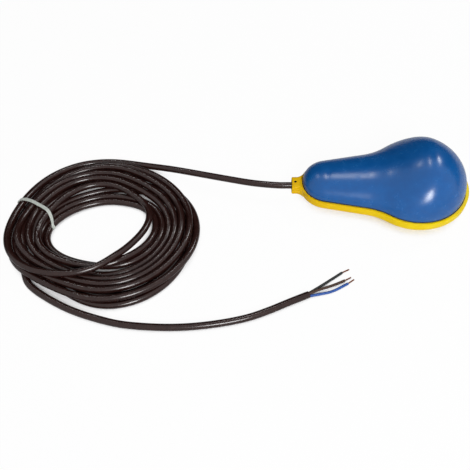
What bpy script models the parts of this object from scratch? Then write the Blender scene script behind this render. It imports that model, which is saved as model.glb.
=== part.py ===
"""Cable float switch: a pear shaped float with a ball operated switch inside, on a coiled three core cable.

Run in Blender 4.5, in metres, +Z up. The float lies on its belly on z = 0 and points along X, with the
cable collar at -X and the bulb at +X. The origin is under the middle of the float.
"""

from math import asin, atan2, cos, pi, radians, sin, sqrt

import bmesh
import bpy
from mathutils import Matrix, Vector

MM = 0.001

# Clearances
GAP = 0.3 * MM                  # between pieces that touch
CUT = 1.0 * MM                  # how far a cutter reaches past what it cuts

# Outline of the float, seen from above
body_length = 165.0 * MM        # blue half, neck end to bulb end
bulb_radius = 51.0 * MM
neck_radius = 25.6 * MM
waist_radius = 60.0 * MM        # hollow curve between neck and bulb
neck_spread = 0.822             # the neck's sides, carried on to the bulb's middle, over its radius

# Section of the float
neck_fullness = 0.60            # dome height over half width, along the neck
bulb_fullness = 0.86            # the same on the bulb
fullness_start = 84.0 * MM      # where the dome starts to swell, from the neck end
fullness_end = 131.0 * MM
belly_fullness = 0.28           # the same for the underside
skirt_height = 1.0 * MM         # upright edge of the blue half
upper_wall = 2.4 * MM
band_height = 7.0 * MM          # upright edge of the yellow half
lower_wall = 3.0 * MM
ledge = 1.9 * MM                # how far the yellow half stands out past the blue one
end_ledge = 2.5 * MM            # how much more it stands out at the bulb's end
seat_flat = 0.8 * MM            # depth of the flat on the belly

# Seal and spigot between the halves
seal_thickness = 0.7 * MM
spigot_wall = 1.4 * MM
spigot_depth = 3.5 * MM

# Collar
collar_length = 9.1 * MM
collar_width = 15.5 * MM
collar_height = 11.5 * MM
collar_edge = 2.6 * MM
collar_flare = 4.2 * MM         # how much wider each side is where it meets the shell
collar_drop = 5.6 * MM          # its axis below the rim of the blue half
pin_hole = 1.9 * MM

# Cable
cable_diameter = 6.8 * MM
core_diameter = 2.6 * MM
copper_diameter = 1.5 * MM
bush_wall = 0.8 * MM
bush_length = 7.0 * MM
washer_thickness = 1.2 * MM
clamp_reach = 24.0 * MM         # from the collar's mouth to the middle of the clamp
clamp_width = 6.0 * MM
clamp_thickness = 1.5 * MM
clamp_screw_pitch = 18.0 * MM
sheath_inside = 29.0 * MM       # sheathed length inside the float

# Coil
coil_outer = 97.0 * MM          # half width along X
coil_inner = 52.0 * MM
coil_height = 15.0 * MM
coil_roundness = 0.93           # depth over width
tie_width = 3.6 * MM
tie_thickness = 1.0 * MM
tie_bearing = radians(166.0)    # where the tie sits, from +X
coil_centre = Vector((-282.7 * MM, -50.0 * MM, tie_thickness + GAP))

# Screws
screw_diameter = 2.8 * MM
screw_head = 5.6 * MM
screw_head_height = 2.0 * MM
boss_diameter = 7.0 * MM

# Switch box
box_length = 80.0 * MM
box_width = 36.0 * MM
box_height = 22.0 * MM
box_wall = 1.8 * MM
box_reach = 28.0 * MM           # the box past the bulb's middle
box_floor = 9.5 * MM            # underside of the box above the table
ear_length = 8.0 * MM
ear_width = 9.0 * MM
wire_slot_width = 20.0 * MM
wire_slot_height = 8.0 * MM
lid_thickness = 1.8 * MM

# Ball and track
ball_diameter = 16.0 * MM
track_wall = 1.2 * MM
track_height = 10.0 * MM

# Snap switch
case_depth = 15.9 * MM          # along X
case_width = 27.8 * MM          # along Y
case_thickness = 10.3 * MM
case_wall = 1.2 * MM
case_back_wall = 5.0 * MM
cavity_width = 17.4 * MM
case_standoff = 16.1 * MM       # back of the case to the inside of the box's neck end
case_hole_pitch = 22.2 * MM
case_hole_inset = 2.9 * MM
lever_length = 24.0 * MM
lever_width = 4.4 * MM
lever_thickness = 0.6 * MM
lever_standoff = 1.9 * MM
hinge_offset = -11.5 * MM       # hinge along Y from the middle of the case
barrel_diameter = 3.2 * MM
pin_diameter = 1.2 * MM
barrel_shoulder = 0.25 * MM     # how far the barrel stands past the strip's edges
lug_thickness = 1.1 * MM
plunger_offset = -2.0 * MM
plunger_diameter = 2.4 * MM
blade_length = 13.8 * MM
blade_width = 4.0 * MM
blade_thickness = 0.4 * MM
blade_depth = 5.0 * MM          # blade behind the case's front face
terminal_thickness = 0.8 * MM
terminal_width = 4.4 * MM
terminal_tail = 6.3 * MM
open_offset = 3.6 * MM          # the open contact along Y from the middle of the case
lever_stroke = radians(4.0)
blade_stroke = radians(2.9)

# Places that follow from these sizes
wall_land = ledge - lower_wall                    # inner edge of the yellow wall, from the blue outline
rim_drop = seal_thickness + 2 * GAP               # yellow rim below the blue one
belly_depth = belly_fullness * (bulb_radius + ledge)
rim_z = belly_depth - seat_flat + band_height + rim_drop
yellow_rim_z = rim_z - rim_drop
band_bottom_z = yellow_rim_z - band_height
float_length = collar_length + body_length + 2 * ledge + end_ledge
mouth_x = -float_length / 2
neck_x = mouth_x + collar_length + ledge
bulb_x = neck_x + body_length
neck_centre_x = neck_x + neck_radius
bulb_centre_x = bulb_x - bulb_radius
neck_run = bulb_centre_x - neck_centre_x
neck_taper = asin((neck_spread * bulb_radius - neck_radius) / neck_run)
cable_z = rim_z - collar_drop
cable_radius = cable_diameter / 2
washer_x = mouth_x + bush_length + GAP
clamp_x = mouth_x + clamp_reach
sheath_x = mouth_x + sheath_inside

box_right = bulb_centre_x + box_reach
box_left = box_right - box_length
box_inside_left = box_left + box_wall
box_inside_z = box_floor + box_wall
box_top = box_floor + box_height
lid_z = box_top + GAP
track_floor_z = box_inside_z + GAP + track_wall
ball_radius = ball_diameter / 2
ball_z = track_floor_z + GAP + ball_radius
case_back = box_inside_left + case_standoff
case_face = case_back + case_depth
case_bottom = ball_z - case_thickness / 2
case_top = ball_z + case_thickness / 2
tray_top = case_top - case_wall - GAP
lever_x = case_face + lever_standoff
track_left = lever_x + lever_thickness + 1.6 * MM
track_right = box_right - box_wall - GAP
ball_rest_x = track_right - track_wall - GAP - ball_radius
ball_switch_x = lever_x + lever_thickness + GAP + ball_radius
blade_x = case_face - blade_depth
blade_root = -blade_length / 2

scene = bpy.context.scene
for old in list(bpy.data.objects):
    bpy.data.objects.remove(old, do_unlink=True)
parts = bpy.data.collections.new("cable_float_switch")
cutters = bpy.data.collections.new("cutters")
scene.collection.children.link(parts)
scene.collection.children.link(cutters)
cutters.hide_render = True


def material(name, colour, roughness, metallic=0.0):
    """A Principled material; colour is the piece's own, from 0 to 1."""
    made = bpy.data.materials.new(name)
    made.use_nodes = True
    shader = made.node_tree.nodes["Principled BSDF"]
    shader.inputs["Base Color"].default_value = (*colour, 1.0)
    shader.inputs["Roughness"].default_value = roughness
    shader.inputs["Metallic"].default_value = metallic
    made.diffuse_color = (*colour, 1.0)
    return made


blue_plastic = material("blue_moulded_plastic", (0.02, 0.13, 0.45), 0.3)
yellow_plastic = material("yellow_moulded_plastic", (0.85, 0.58, 0.0), 0.4)
black_rubber = material("black_rubber", (0.02, 0.02, 0.02), 0.6)
black_sheath = material("black_cable_sheath", (0.03, 0.02, 0.025), 0.25)
tie_plastic = material("pale_tie_plastic", (0.68, 0.72, 0.68), 0.4)
brown_cover = material("brown_core_cover", (0.16, 0.07, 0.03), 0.4)
blue_cover = material("blue_core_cover", (0.08, 0.17, 0.5), 0.4)
black_cover = material("black_core_cover", (0.02, 0.03, 0.03), 0.4)
copper = material("bare_copper", (0.5, 0.22, 0.12), 0.35, 1.0)
zinc_steel = material("zinc_plated_steel", (0.6, 0.6, 0.62), 0.35, 1.0)
ball_steel = material("polished_ball_steel", (0.7, 0.7, 0.72), 0.1, 1.0)
brass = material("terminal_brass", (0.7, 0.5, 0.2), 0.3, 1.0)
grey_plastic = material("grey_moulded_plastic", (0.3, 0.31, 0.32), 0.5)
switch_plastic = material("black_switch_plastic", (0.03, 0.03, 0.035), 0.45)
red_plastic = material("red_button_plastic", (0.5, 0.03, 0.02), 0.4)


def keep(name, mesh, finish):
    """A finished piece, in the parts collection."""
    obj = bpy.data.objects.new(name, mesh)
    parts.objects.link(obj)
    mesh.materials.clear()
    mesh.materials.append(finish)
    return obj


def hide(obj):
    """Turns a shape into a cutter or a guide."""
    for collection in list(obj.users_collection):
        collection.objects.unlink(obj)
    cutters.objects.link(obj)
    obj.hide_render = True
    obj.display_type = "WIRE"
    return obj


def tool(name, mesh):
    obj = bpy.data.objects.new(name, mesh)
    cutters.objects.link(obj)
    return hide(obj)


def boolean(target, other, operation):
    """Cuts other from the target, or joins it on."""
    step = target.modifiers.new(other.name, "BOOLEAN")
    step.operation = operation
    step.object = other
    step.solver = "EXACT"


def mesh_from(bm, name):
    bmesh.ops.recalc_face_normals(bm, faces=bm.faces)
    mesh = bpy.data.meshes.new(name)
    bm.to_mesh(mesh)
    bm.free()
    return mesh


def smooth(mesh, angle=35.0):
    mesh.shade_smooth()
    mesh.set_sharp_from_angle(angle=radians(angle))


def block(name, low, high, edge=0.0):
    """A box from one corner to the other, its edges rounded by edge."""
    bm = bmesh.new()
    bmesh.ops.create_cube(bm, size=1.0)
    size = Vector(high) - Vector(low)
    middle = (Vector(high) + Vector(low)) / 2
    bmesh.ops.scale(bm, vec=size, verts=bm.verts)
    bmesh.ops.translate(bm, vec=middle, verts=bm.verts)
    if edge:
        bmesh.ops.bevel(bm, geom=bm.edges[:], offset=edge, segments=2, profile=0.5, affect="EDGES")
    return mesh_from(bm, name)


def rod(name, radius, start, end, sides=20):
    """A cylinder between two points."""
    start = Vector(start)
    end = Vector(end)
    bm = bmesh.new()
    length = (end - start).length
    bmesh.ops.create_cone(bm, cap_ends=True, segments=sides, radius1=radius, radius2=radius, depth=length)
    turn = (end - start).to_track_quat("Z", "Y").to_matrix().to_4x4()
    bmesh.ops.transform(bm, matrix=Matrix.Translation((start + end) / 2) @ turn, verts=bm.verts)
    return mesh_from(bm, name)


# Pear outline


def waist_circle():
    """Centre of the hollow waist arc, and where it meets the neck's straight side."""
    along = Vector((cos(neck_taper), sin(neck_taper)))
    across = Vector((-sin(neck_taper), cos(neck_taper)))
    side_start = Vector((neck_centre_x, 0)) + neck_radius * across
    offset = side_start + waist_radius * across - Vector((bulb_centre_x, 0))
    half_b = offset.dot(along)
    reach = half_b ** 2 - offset.length_squared + (bulb_radius + waist_radius) ** 2
    straight = -half_b - sqrt(reach)
    centre = side_start + waist_radius * across + straight * along
    return centre, across


def arc(centre, radius, start, end, count):
    """Points on an arc, both ends included."""
    steps = [start + (end - start) * i / count for i in range(count + 1)]
    return [Vector((centre[0] + radius * cos(a), centre[1] + radius * sin(a))) for a in steps]


def pear_side(grow, cap=9, waist=5, bulb=17):
    """One side of the outline from the neck's end to the bulb's, moved outwards by grow."""
    centre, across = waist_circle()
    side_angle = atan2(across.y, across.x)
    meet = atan2(centre.y, centre.x - bulb_centre_x)
    points = arc((neck_centre_x, 0), neck_radius + grow, pi, side_angle, cap)
    points += arc(centre, waist_radius - grow, side_angle - pi, meet - pi, waist)
    points += arc((bulb_centre_x, 0), bulb_radius + grow, meet, 0.0, bulb)[1:]
    stretch = 1.0 + end_ledge * max(grow, 0.0) / ledge / (bulb_radius + grow)
    for point in points:
        if point.x > bulb_centre_x:
            point.x = bulb_centre_x + (point.x - bulb_centre_x) * stretch
    points[0].y = 0.0
    points[-1].y = 0.0
    return points


def half_width(x, grow=0.0):
    """Half width of the outline at x."""
    side = pear_side(grow)
    for a, b in zip(side, side[1:]):
        if a.x <= x <= b.x:
            return a.y + (b.y - a.y) * (x - a.x) / max(b.x - a.x, 1e-9)
    return 0.0


def dome_fullness(x):
    """The dome swells smoothly from the flat neck to the full bulb."""
    share = (x - neck_x - fullness_start) / (fullness_end - fullness_start)
    share = min(max(share, 0.0), 1.0)
    return neck_fullness + (bulb_fullness - neck_fullness) * share * share * (3 - 2 * share)


def flat_fullness(x):
    """The belly is as flat all along."""
    return belly_fullness


def belly_z(x, y=0.0):
    """Outer surface of the belly under a point."""
    width = half_width(x, ledge)
    return band_bottom_z - belly_fullness * sqrt(max(width ** 2 - y ** 2, 0.0))


def pear_half(name, grow, wall, base_z, edge_z, fullness, side, steps=18):
    """A solid half pear: half a turned outline, flattened to the wanted section, with an upright edge.

    Side is 1 for a dome and -1 for a belly. With a wall it is the hollow that leaves that wall.
    """
    bm = bmesh.new()
    points = [bm.verts.new((p.x, p.y, 0.0)) for p in pear_side(grow - wall)]
    edges = [bm.edges.new(pair) for pair in zip(points, points[1:])]
    bmesh.ops.spin(bm, geom=points + edges, axis=(1, 0, 0), cent=(0, 0, 0), dvec=(0, 0, 0),
                   angle=side * pi, steps=steps)
    bmesh.ops.remove_doubles(bm, verts=bm.verts, dist=0.005 * MM)
    for v in bm.verts:
        share = fullness(v.co.x)
        v.co.z = base_z + v.co.z * share - side * wall * (1 - share)
    rim = [e for e in bm.edges if e.is_boundary]
    made = bmesh.ops.extrude_edge_only(bm, edges=rim)["geom"]
    for v in made:
        if isinstance(v, bmesh.types.BMVert):
            v.co.z = edge_z
    bmesh.ops.holes_fill(bm, edges=[e for e in bm.edges if e.is_boundary])
    return mesh_from(bm, name)


def band(name, outer, inner, thickness, place):
    """A ring of the thickness between two closed outlines, filled from one flat curve."""
    data = bpy.data.curves.new(name, "CURVE")
    data.dimensions = "2D"
    data.fill_mode = "BOTH"
    data.extrude = thickness / 2
    for loop in (outer, inner):
        spline = data.splines.new("POLY")
        spline.points.add(len(loop) - 1)
        for point, spot in zip(spline.points, loop):
            point.co = (spot.x, spot.y, 0.0, 1.0)
        spline.use_cyclic_u = True
    obj = bpy.data.objects.new(name, data)
    cutters.objects.link(obj)
    obj.matrix_world = place
    return as_mesh(obj)


def pear_loop(grow):
    side = pear_side(grow)
    return side + [Vector((p.x, -p.y)) for p in reversed(side[1:-1])]


def pear_ring(name, outer, inner, low, high):
    """A flat ring that follows the float's outline."""
    place = Matrix.Translation((0, 0, (low + high) / 2))
    return band(name, pear_loop(outer), pear_loop(inner), high - low, place)


def as_mesh(obj):
    """The mesh of a curve object, welded and in its place; the curve is removed."""
    bpy.context.view_layer.update()
    name = obj.name
    graph = bpy.context.evaluated_depsgraph_get()
    mesh = bpy.data.meshes.new_from_object(obj.evaluated_get(graph))
    mesh.transform(obj.matrix_world)
    bm = bmesh.new()
    bm.from_mesh(mesh)
    bmesh.ops.remove_doubles(bm, verts=bm.verts, dist=0.001 * MM)
    bmesh.ops.recalc_face_normals(bm, faces=bm.faces)
    bm.to_mesh(mesh)
    bm.free()
    bpy.data.objects.remove(obj, do_unlink=True)
    mesh.name = name
    return mesh


# Float


def make_upper_shell():
    edge = rim_z + skirt_height
    mesh = pear_half("upper_shell", 0.0, 0.0, edge, rim_z, dome_fullness, 1)
    shell = keep("upper_shell", mesh, blue_plastic)
    hollow = pear_half("dome_hollow", 0.0, upper_wall, edge, rim_z - CUT, dome_fullness, 1)
    boolean(shell, tool("dome_hollow", hollow), "DIFFERENCE")
    spigot_out = wall_land - GAP
    ring = tool("spigot", pear_ring("spigot", spigot_out, spigot_out - spigot_wall,
                                    rim_z - spigot_depth, rim_z + skirt_height * 0.8))
    notch_half = cable_radius + 3 * GAP + bush_wall
    notch = tool("spigot_notch", block("spigot_notch",
                                       (mouth_x, -notch_half, rim_z - spigot_depth - CUT),
                                       (neck_x + 3 * upper_wall, notch_half, rim_z)))
    boolean(shell, ring, "UNION")
    boolean(shell, notch, "DIFFERENCE")
    smooth(mesh)
    return shell


def make_collar():
    """The block round the cable: a rounded rectangle drawn out along X that flares into the shell."""
    bm = bmesh.new()
    bmesh.ops.create_grid(bm, x_segments=1, y_segments=1, size=0.5)
    bmesh.ops.scale(bm, vec=(collar_height, collar_width, 1.0), verts=bm.verts)
    bmesh.ops.bevel(bm, geom=bm.verts[:], offset=collar_edge, segments=4, profile=0.5, affect="VERTICES")
    bmesh.ops.rotate(bm, matrix=Matrix.Rotation(pi / 2, 3, "Y"), verts=bm.verts)
    bmesh.ops.translate(bm, vec=(mouth_x, 0, cable_z), verts=bm.verts)
    centre = Vector((0, 0, cable_z))
    chamfer = 1.0 * MM
    flare_start = collar_length * 0.55
    flare_end = collar_length + ledge + upper_wall * 0.4
    steps = ((chamfer, 1.0), (flare_start, 1.0), (collar_length * 0.85, 1.0 + 0.35 * collar_flare / collar_width),
             (flare_end, 1.0 + 2 * collar_flare / collar_width))
    chamfer_scale = 1 - 2 * chamfer / collar_height
    faces = bm.faces[:]
    bmesh.ops.scale(bm, vec=(1, chamfer_scale, chamfer_scale), verts=bm.verts,
                    space=Matrix.Translation(-centre))
    last_x = 0.0
    last_scale = chamfer_scale
    for reach, wider in steps:
        made = bmesh.ops.extrude_face_region(bm, geom=faces)["geom"]
        faces_old = faces
        faces = [g for g in made if isinstance(g, bmesh.types.BMFace)]
        verts = [g for g in made if isinstance(g, bmesh.types.BMVert)]
        if last_x:
            bmesh.ops.delete(bm, geom=faces_old, context="FACES_ONLY")
        bmesh.ops.translate(bm, vec=(reach - last_x, 0, 0), verts=verts)
        height = chamfer_scale if last_scale == chamfer_scale else 1.0
        bmesh.ops.scale(bm, vec=(1, wider / last_scale, 1.0 / height), verts=verts,
                        space=Matrix.Translation(-centre))
        last_x = reach
        last_scale = wider
    return tool("collar", mesh_from(bm, "collar"))


def make_lower_shell():
    mesh = pear_half("lower_shell", ledge, 0.0, band_bottom_z, yellow_rim_z, flat_fullness, -1)
    shell = keep("lower_shell", mesh, yellow_plastic)
    boolean(shell, make_collar(), "UNION")
    hollow = pear_half("belly_hollow", ledge, lower_wall, band_bottom_z, yellow_rim_z + CUT, flat_fullness, -1)
    boolean(shell, tool("belly_hollow", hollow), "DIFFERENCE")
    clear_low = (neck_x + ledge - lower_wall, -collar_width, yellow_rim_z)
    clear_high = (neck_x + neck_radius, collar_width, rim_z + collar_height)
    boolean(shell, tool("collar_trim", block("collar_trim", clear_low, clear_high)), "DIFFERENCE")
    inner = pear_plug("collar_trim_pear", wall_land + lower_wall + GAP, yellow_rim_z, rim_z + collar_height)
    boolean(shell, inner, "DIFFERENCE")

    for side in (-1, 1):
        y = side * clamp_screw_pitch / 2
        floor = belly_z(clamp_x, y) + lower_wall / 2
        top = cable_z - GAP
        post = rod("clamp_boss", boss_diameter / 2, (clamp_x, y, floor), (clamp_x, y, top))
        boolean(shell, tool("clamp_boss", post), "UNION")
    rib_low = (clamp_x - clamp_width / 2, -clamp_screw_pitch / 2, belly_z(clamp_x) + lower_wall / 2)
    rib_high = (clamp_x + clamp_width / 2, clamp_screw_pitch / 2, cable_z - cable_radius / 2)
    boolean(shell, tool("clamp_rib", block("clamp_rib", rib_low, rib_high)), "UNION")
    for x in (box_left - ear_length / 2, box_right + ear_length / 2):
        post = rod("box_boss", boss_diameter / 2, (x, 0, belly_z(x) + lower_wall / 2), (x, 0, box_floor - GAP))
        boolean(shell, tool("box_boss", post), "UNION")

    bore = rod("cable_bore", cable_radius + GAP, (mouth_x - CUT, 0, cable_z),
               (clamp_x + clamp_width, 0, cable_z), 24)
    boolean(shell, tool("cable_bore", bore), "DIFFERENCE")
    pocket_end = washer_x + washer_thickness + GAP
    pocket = rod("bush_pocket", cable_radius + 2 * GAP + bush_wall, (mouth_x - CUT, 0, cable_z),
                 (pocket_end, 0, cable_z), 24)
    boolean(shell, tool("bush_pocket", pocket), "DIFFERENCE")
    pin_x = mouth_x + collar_length * 0.4
    pin = rod("pin_hole", pin_hole / 2, (pin_x, 0, cable_z), (pin_x, 0, cable_z + collar_height), 12)
    boolean(shell, tool("pin_hole", pin), "DIFFERENCE")
    for place, depth in clamp_screw_places() + box_screw_places():
        hole = rod("pilot_hole", screw_diameter / 2 + GAP, place + Vector((0, 0, CUT)),
                   place - Vector((0, 0, depth + GAP)), 12)
        boolean(shell, tool("pilot_hole", hole), "DIFFERENCE")
    floor_low = (neck_x, -bulb_radius, -belly_depth)
    floor_high = (bulb_x, bulb_radius, 0.0)
    boolean(shell, tool("seat_cut", block("seat_cut", floor_low, floor_high)), "DIFFERENCE")
    smooth(mesh)
    return shell


def pear_plug(name, grow, low, high):
    """A solid of the float's outline, used to clear the space over the rim."""
    bm = bmesh.new()
    face = bm.faces.new([bm.verts.new((p.x, p.y, low)) for p in pear_loop(grow)])
    made = bmesh.ops.extrude_face_region(bm, geom=[face])["geom"]
    bmesh.ops.translate(bm, vec=(0, 0, high - low), verts=[g for g in made if isinstance(g, bmesh.types.BMVert)])
    return tool(name, mesh_from(bm, name))


def make_rim_seal():
    low = yellow_rim_z + GAP
    return keep("rim_seal", pear_ring("rim_seal", 0.0, wall_land, low, low + seal_thickness), black_rubber)


# Fasteners


def screw_mesh(length):
    """A pan head screw, turned, with its head's underside at the origin and its shank down -Z."""
    head = screw_head / 2
    shank = screw_diameter / 2
    crown = screw_head_height
    profile = [(0, crown), (head * 0.55, crown * 0.97), (head * 0.9, crown * 0.6), (head, crown * 0.2),
               (head, 0), (shank, 0), (shank, -length + shank), (shank * 0.3, -length), (0, -length)]
    bm = bmesh.new()
    points = [bm.verts.new((x, 0, z)) for x, z in profile]
    for pair in zip(points, points[1:]):
        bm.edges.new(pair)
    mesh = bpy.data.meshes.new("screw")
    bm.to_mesh(mesh)
    bm.free()
    return mesh


def place_screw(name, mesh, place):
    screw = keep(name, mesh, zinc_steel)
    turn = screw.modifiers.new("turned", "SCREW")
    turn.axis = "Z"
    turn.steps = 14
    turn.render_steps = 14
    turn.use_merge_vertices = True
    turn.merge_threshold = 0.00001
    screw.location = place


def clamp_screw_places():
    """Where each clamp screw enters its boss, and how deep it goes."""
    return [(Vector((clamp_x, side * clamp_screw_pitch / 2, cable_z - GAP)), 5.0 * MM) for side in (-1, 1)]


def box_screw_places():
    ends = (box_left - ear_length / 2, box_right + ear_length / 2)
    return [(Vector((x, 0, box_floor - GAP)), 2.6 * MM) for x in ends]


def lid_screw_places():
    inset = box_wall + screw_diameter / 2 + 0.8 * MM
    return [(x, y) for x in (box_left + inset, box_right - inset)
            for y in (-box_width / 2 + inset, box_width / 2 - inset)]


def make_fasteners():
    clamp_seat = cable_z + clamp_thickness + GAP
    mesh = screw_mesh(clamp_seat - (cable_z - GAP) + 5.0 * MM)
    for i, (place, depth) in enumerate(clamp_screw_places(), 1):
        place_screw(f"clamp_screw_{i}", mesh, (place.x, place.y, clamp_seat))
    box_seat = box_floor + box_wall + GAP
    mesh = screw_mesh(box_seat - (box_floor - GAP) + 2.6 * MM)
    for i, (place, depth) in enumerate(box_screw_places(), 1):
        place_screw(f"box_screw_{i}", mesh, (place.x, place.y, box_seat))
    lid_seat = lid_z + lid_thickness + GAP
    mesh = screw_mesh(lid_thickness + 7.0 * MM)
    for i, (x, y) in enumerate(lid_screw_places(), 1):
        place_screw(f"lid_screw_{i}", mesh, (x, y, lid_seat))
    case_seat = case_top + GAP
    mesh = screw_mesh(case_thickness + 2 * GAP + 3.0 * MM)
    for i, side in enumerate((-1, 1), 1):
        y = side * case_hole_pitch / 2
        place_screw(f"switch_screw_{i}", mesh, (case_back + case_hole_inset, y, case_seat))


# Gland and clamp


def collar_ring(name, start, length, finish):
    """A ring round the cable in the collar's pocket."""
    outer = rod(name, cable_radius + GAP + bush_wall, (start, 0, cable_z), (start + length, 0, cable_z), 24)
    ring = keep(name, outer, finish)
    hole = rod("ring_hole", cable_radius + GAP, (start - CUT, 0, cable_z), (start + length + CUT, 0, cable_z), 24)
    boolean(ring, tool("ring_hole", hole), "DIFFERENCE")
    smooth(ring.data)


def make_clamp():
    """A strap bent over the cable, with a flat ear on each side."""
    half = clamp_width / 2
    ear_out = clamp_screw_pitch / 2 + boss_diameter / 2
    strap = keep("cable_clamp", block("cable_clamp", (clamp_x - half, -ear_out, cable_z),
                                      (clamp_x + half, ear_out, cable_z + clamp_thickness)), zinc_steel)
    arch = rod("clamp_arch", cable_radius + GAP + clamp_thickness, (clamp_x - half, 0, cable_z),
               (clamp_x + half, 0, cable_z), 24)
    boolean(strap, tool("clamp_arch", arch), "UNION")
    below = block("clamp_below", (clamp_x - 2 * half, -ear_out, cable_z - 3 * cable_radius),
                  (clamp_x + 2 * half, ear_out, cable_z))
    boolean(strap, tool("clamp_below", below), "DIFFERENCE")
    hole = rod("clamp_hole", cable_radius + GAP, (clamp_x - 2 * half, 0, cable_z),
               (clamp_x + 2 * half, 0, cable_z), 24)
    boolean(strap, tool("clamp_hole", hole), "DIFFERENCE")
    for place, depth in clamp_screw_places():
        hole = rod("ear_hole", screw_diameter / 2 + GAP, place - Vector((0, 0, CUT)),
                   place + Vector((0, 0, clamp_thickness + 2 * CUT)), 12)
        boolean(strap, tool("ear_hole", hole), "DIFFERENCE")
    smooth(strap.data)


# Switch box


def make_box():
    half = box_width / 2
    box = keep("switch_box", block("switch_box", (box_left, -half, box_floor), (box_right, half, box_top)),
               grey_plastic)
    for x in (box_left, box_right):
        low = (x - ear_length, -ear_width / 2, box_floor)
        high = (x + ear_length, ear_width / 2, box_floor + box_wall)
        boolean(box, tool("box_ear", block("box_ear", low, high)), "UNION")
    inside = block("box_inside", (box_inside_left, -half + box_wall, box_inside_z),
                   (box_right - box_wall, half - box_wall, box_top + CUT))
    boolean(box, tool("box_inside", inside), "DIFFERENCE")
    for x, y in lid_screw_places():
        post = rod("corner_post", screw_diameter / 2 + GAP + box_wall * 0.8, (x, y, box_inside_z - GAP),
                   (x, y, box_top), 16)
        boolean(box, tool("corner_post", post), "UNION")
    for side in (-1, 1):
        place = Vector((case_back + case_hole_inset, side * case_hole_pitch / 2, box_inside_z - GAP))
        top = Vector((place.x, place.y, case_bottom - GAP))
        boolean(box, tool("case_post", rod("case_post", screw_diameter, place, top, 16)), "UNION")
        hole = rod("case_post_hole", screw_diameter / 2 + GAP, top + Vector((0, 0, CUT)),
                   top - Vector((0, 0, 3.0 * MM + GAP)), 12)
        boolean(box, tool("case_post_hole", hole), "DIFFERENCE")
    for x, y in lid_screw_places():
        hole = rod("lid_pilot", screw_diameter / 2 + GAP, (x, y, box_top + CUT), (x, y, box_top - 7.0 * MM), 12)
        boolean(box, tool("lid_pilot", hole), "DIFFERENCE")
    for place, depth in box_screw_places():
        hole = rod("ear_hole", screw_diameter / 2 + GAP, place - Vector((0, 0, CUT)),
                   place + Vector((0, 0, box_wall + 2 * CUT)), 12)
        boolean(box, tool("ear_hole", hole), "DIFFERENCE")
    slot = block("wire_slot", (box_left - CUT, -wire_slot_width / 2, ball_z - wire_slot_height / 2),
                 (box_inside_left + CUT, wire_slot_width / 2, ball_z + wire_slot_height / 2))
    boolean(box, tool("wire_slot", slot), "DIFFERENCE")
    smooth(box.data)


def make_lid():
    half = box_width / 2
    lid = keep("switch_box_lid", block("switch_box_lid", (box_left, -half, lid_z),
                                       (box_right, half, lid_z + lid_thickness)), grey_plastic)
    for x, y in lid_screw_places():
        hole = rod("lid_hole", screw_diameter / 2 + GAP, (x, y, lid_z - CUT),
                   (x, y, lid_z + lid_thickness + CUT), 12)
        boolean(lid, tool("lid_hole", hole), "DIFFERENCE")


def make_track():
    """The channel the ball rolls in, open to the lever and closed at the bulb end."""
    half = ball_radius + 2 * GAP + track_wall
    low_z = box_inside_z + GAP
    track = keep("ball_track", block("ball_track", (track_left, -half, low_z),
                                     (track_right, half, low_z + track_height)), switch_plastic)
    inside = block("track_inside", (track_left - CUT, -half + track_wall, track_floor_z),
                   (track_right - track_wall, half - track_wall, low_z + track_height + CUT))
    boolean(track, tool("track_inside", inside), "DIFFERENCE")


def make_ball():
    bm = bmesh.new()
    bmesh.ops.create_uvsphere(bm, u_segments=20, v_segments=12, radius=ball_radius)
    ball = keep("steel_ball", mesh_from(bm, "steel_ball"), ball_steel)
    ball.data.shade_smooth()
    ball.location = (ball_rest_x, 0, ball_z)


# Snap switch


def make_case():
    half = case_width / 2
    low = (case_back, -half, case_bottom)
    case = keep("switch_case", block("switch_case", low, (case_face, half, tray_top)), switch_plastic)
    lug = barrel_diameter / 2
    hinge = Vector((lever_x, hinge_offset, ball_z))
    for side in (-1, 1):
        near = hinge.z + side * (lever_width / 2 + GAP)
        far = near + side * lug_thickness
        ear_low = (case_face - GAP, hinge.y - lug, min(near, far))
        ear_high = (hinge.x + lug, hinge.y + lug, max(near, far))
        boolean(case, tool("hinge_lug", block("hinge_lug", ear_low, ear_high)), "UNION")
    cavity = block("case_cavity", (case_back + case_back_wall, -cavity_width / 2, case_bottom + case_wall),
                   (case_face - case_wall, cavity_width / 2, tray_top + CUT))
    boolean(case, tool("case_cavity", cavity), "DIFFERENCE")
    for side in (-1, 1):
        place = Vector((case_back + case_hole_inset, side * case_hole_pitch / 2, 0))
        hole = rod("case_hole", screw_diameter / 2 + GAP, (place.x, place.y, case_bottom - CUT),
                   (place.x, place.y, case_top + CUT), 12)
        boolean(case, tool("case_hole", hole), "DIFFERENCE")
    pin = rod("pin_bore", pin_diameter / 2 + GAP, (hinge.x, hinge.y, case_bottom - CUT),
              (hinge.x, hinge.y, case_top + CUT), 12)
    boolean(case, tool("pin_bore", pin), "DIFFERENCE")
    window = rod("plunger_window", plunger_diameter / 2 + GAP, (case_face - 2 * case_wall, plunger_offset, ball_z),
                 (case_face + CUT, plunger_offset, ball_z), 16)
    boolean(case, tool("plunger_window", window), "DIFFERENCE")
    for y in terminal_places():
        edge = terminal_thickness / 2 + GAP
        slot = block("terminal_slot", (case_back - CUT, y - edge, ball_z - terminal_width / 2 - GAP),
                     (case_back + case_back_wall + CUT, y + edge, tray_top + CUT))
        boolean(case, tool("terminal_slot", slot), "DIFFERENCE")


def terminal_places():
    """The three terminals along Y: common, open and closed."""
    side = blade_length / 2 + GAP + terminal_thickness / 2
    return (-side, open_offset, side)


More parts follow.
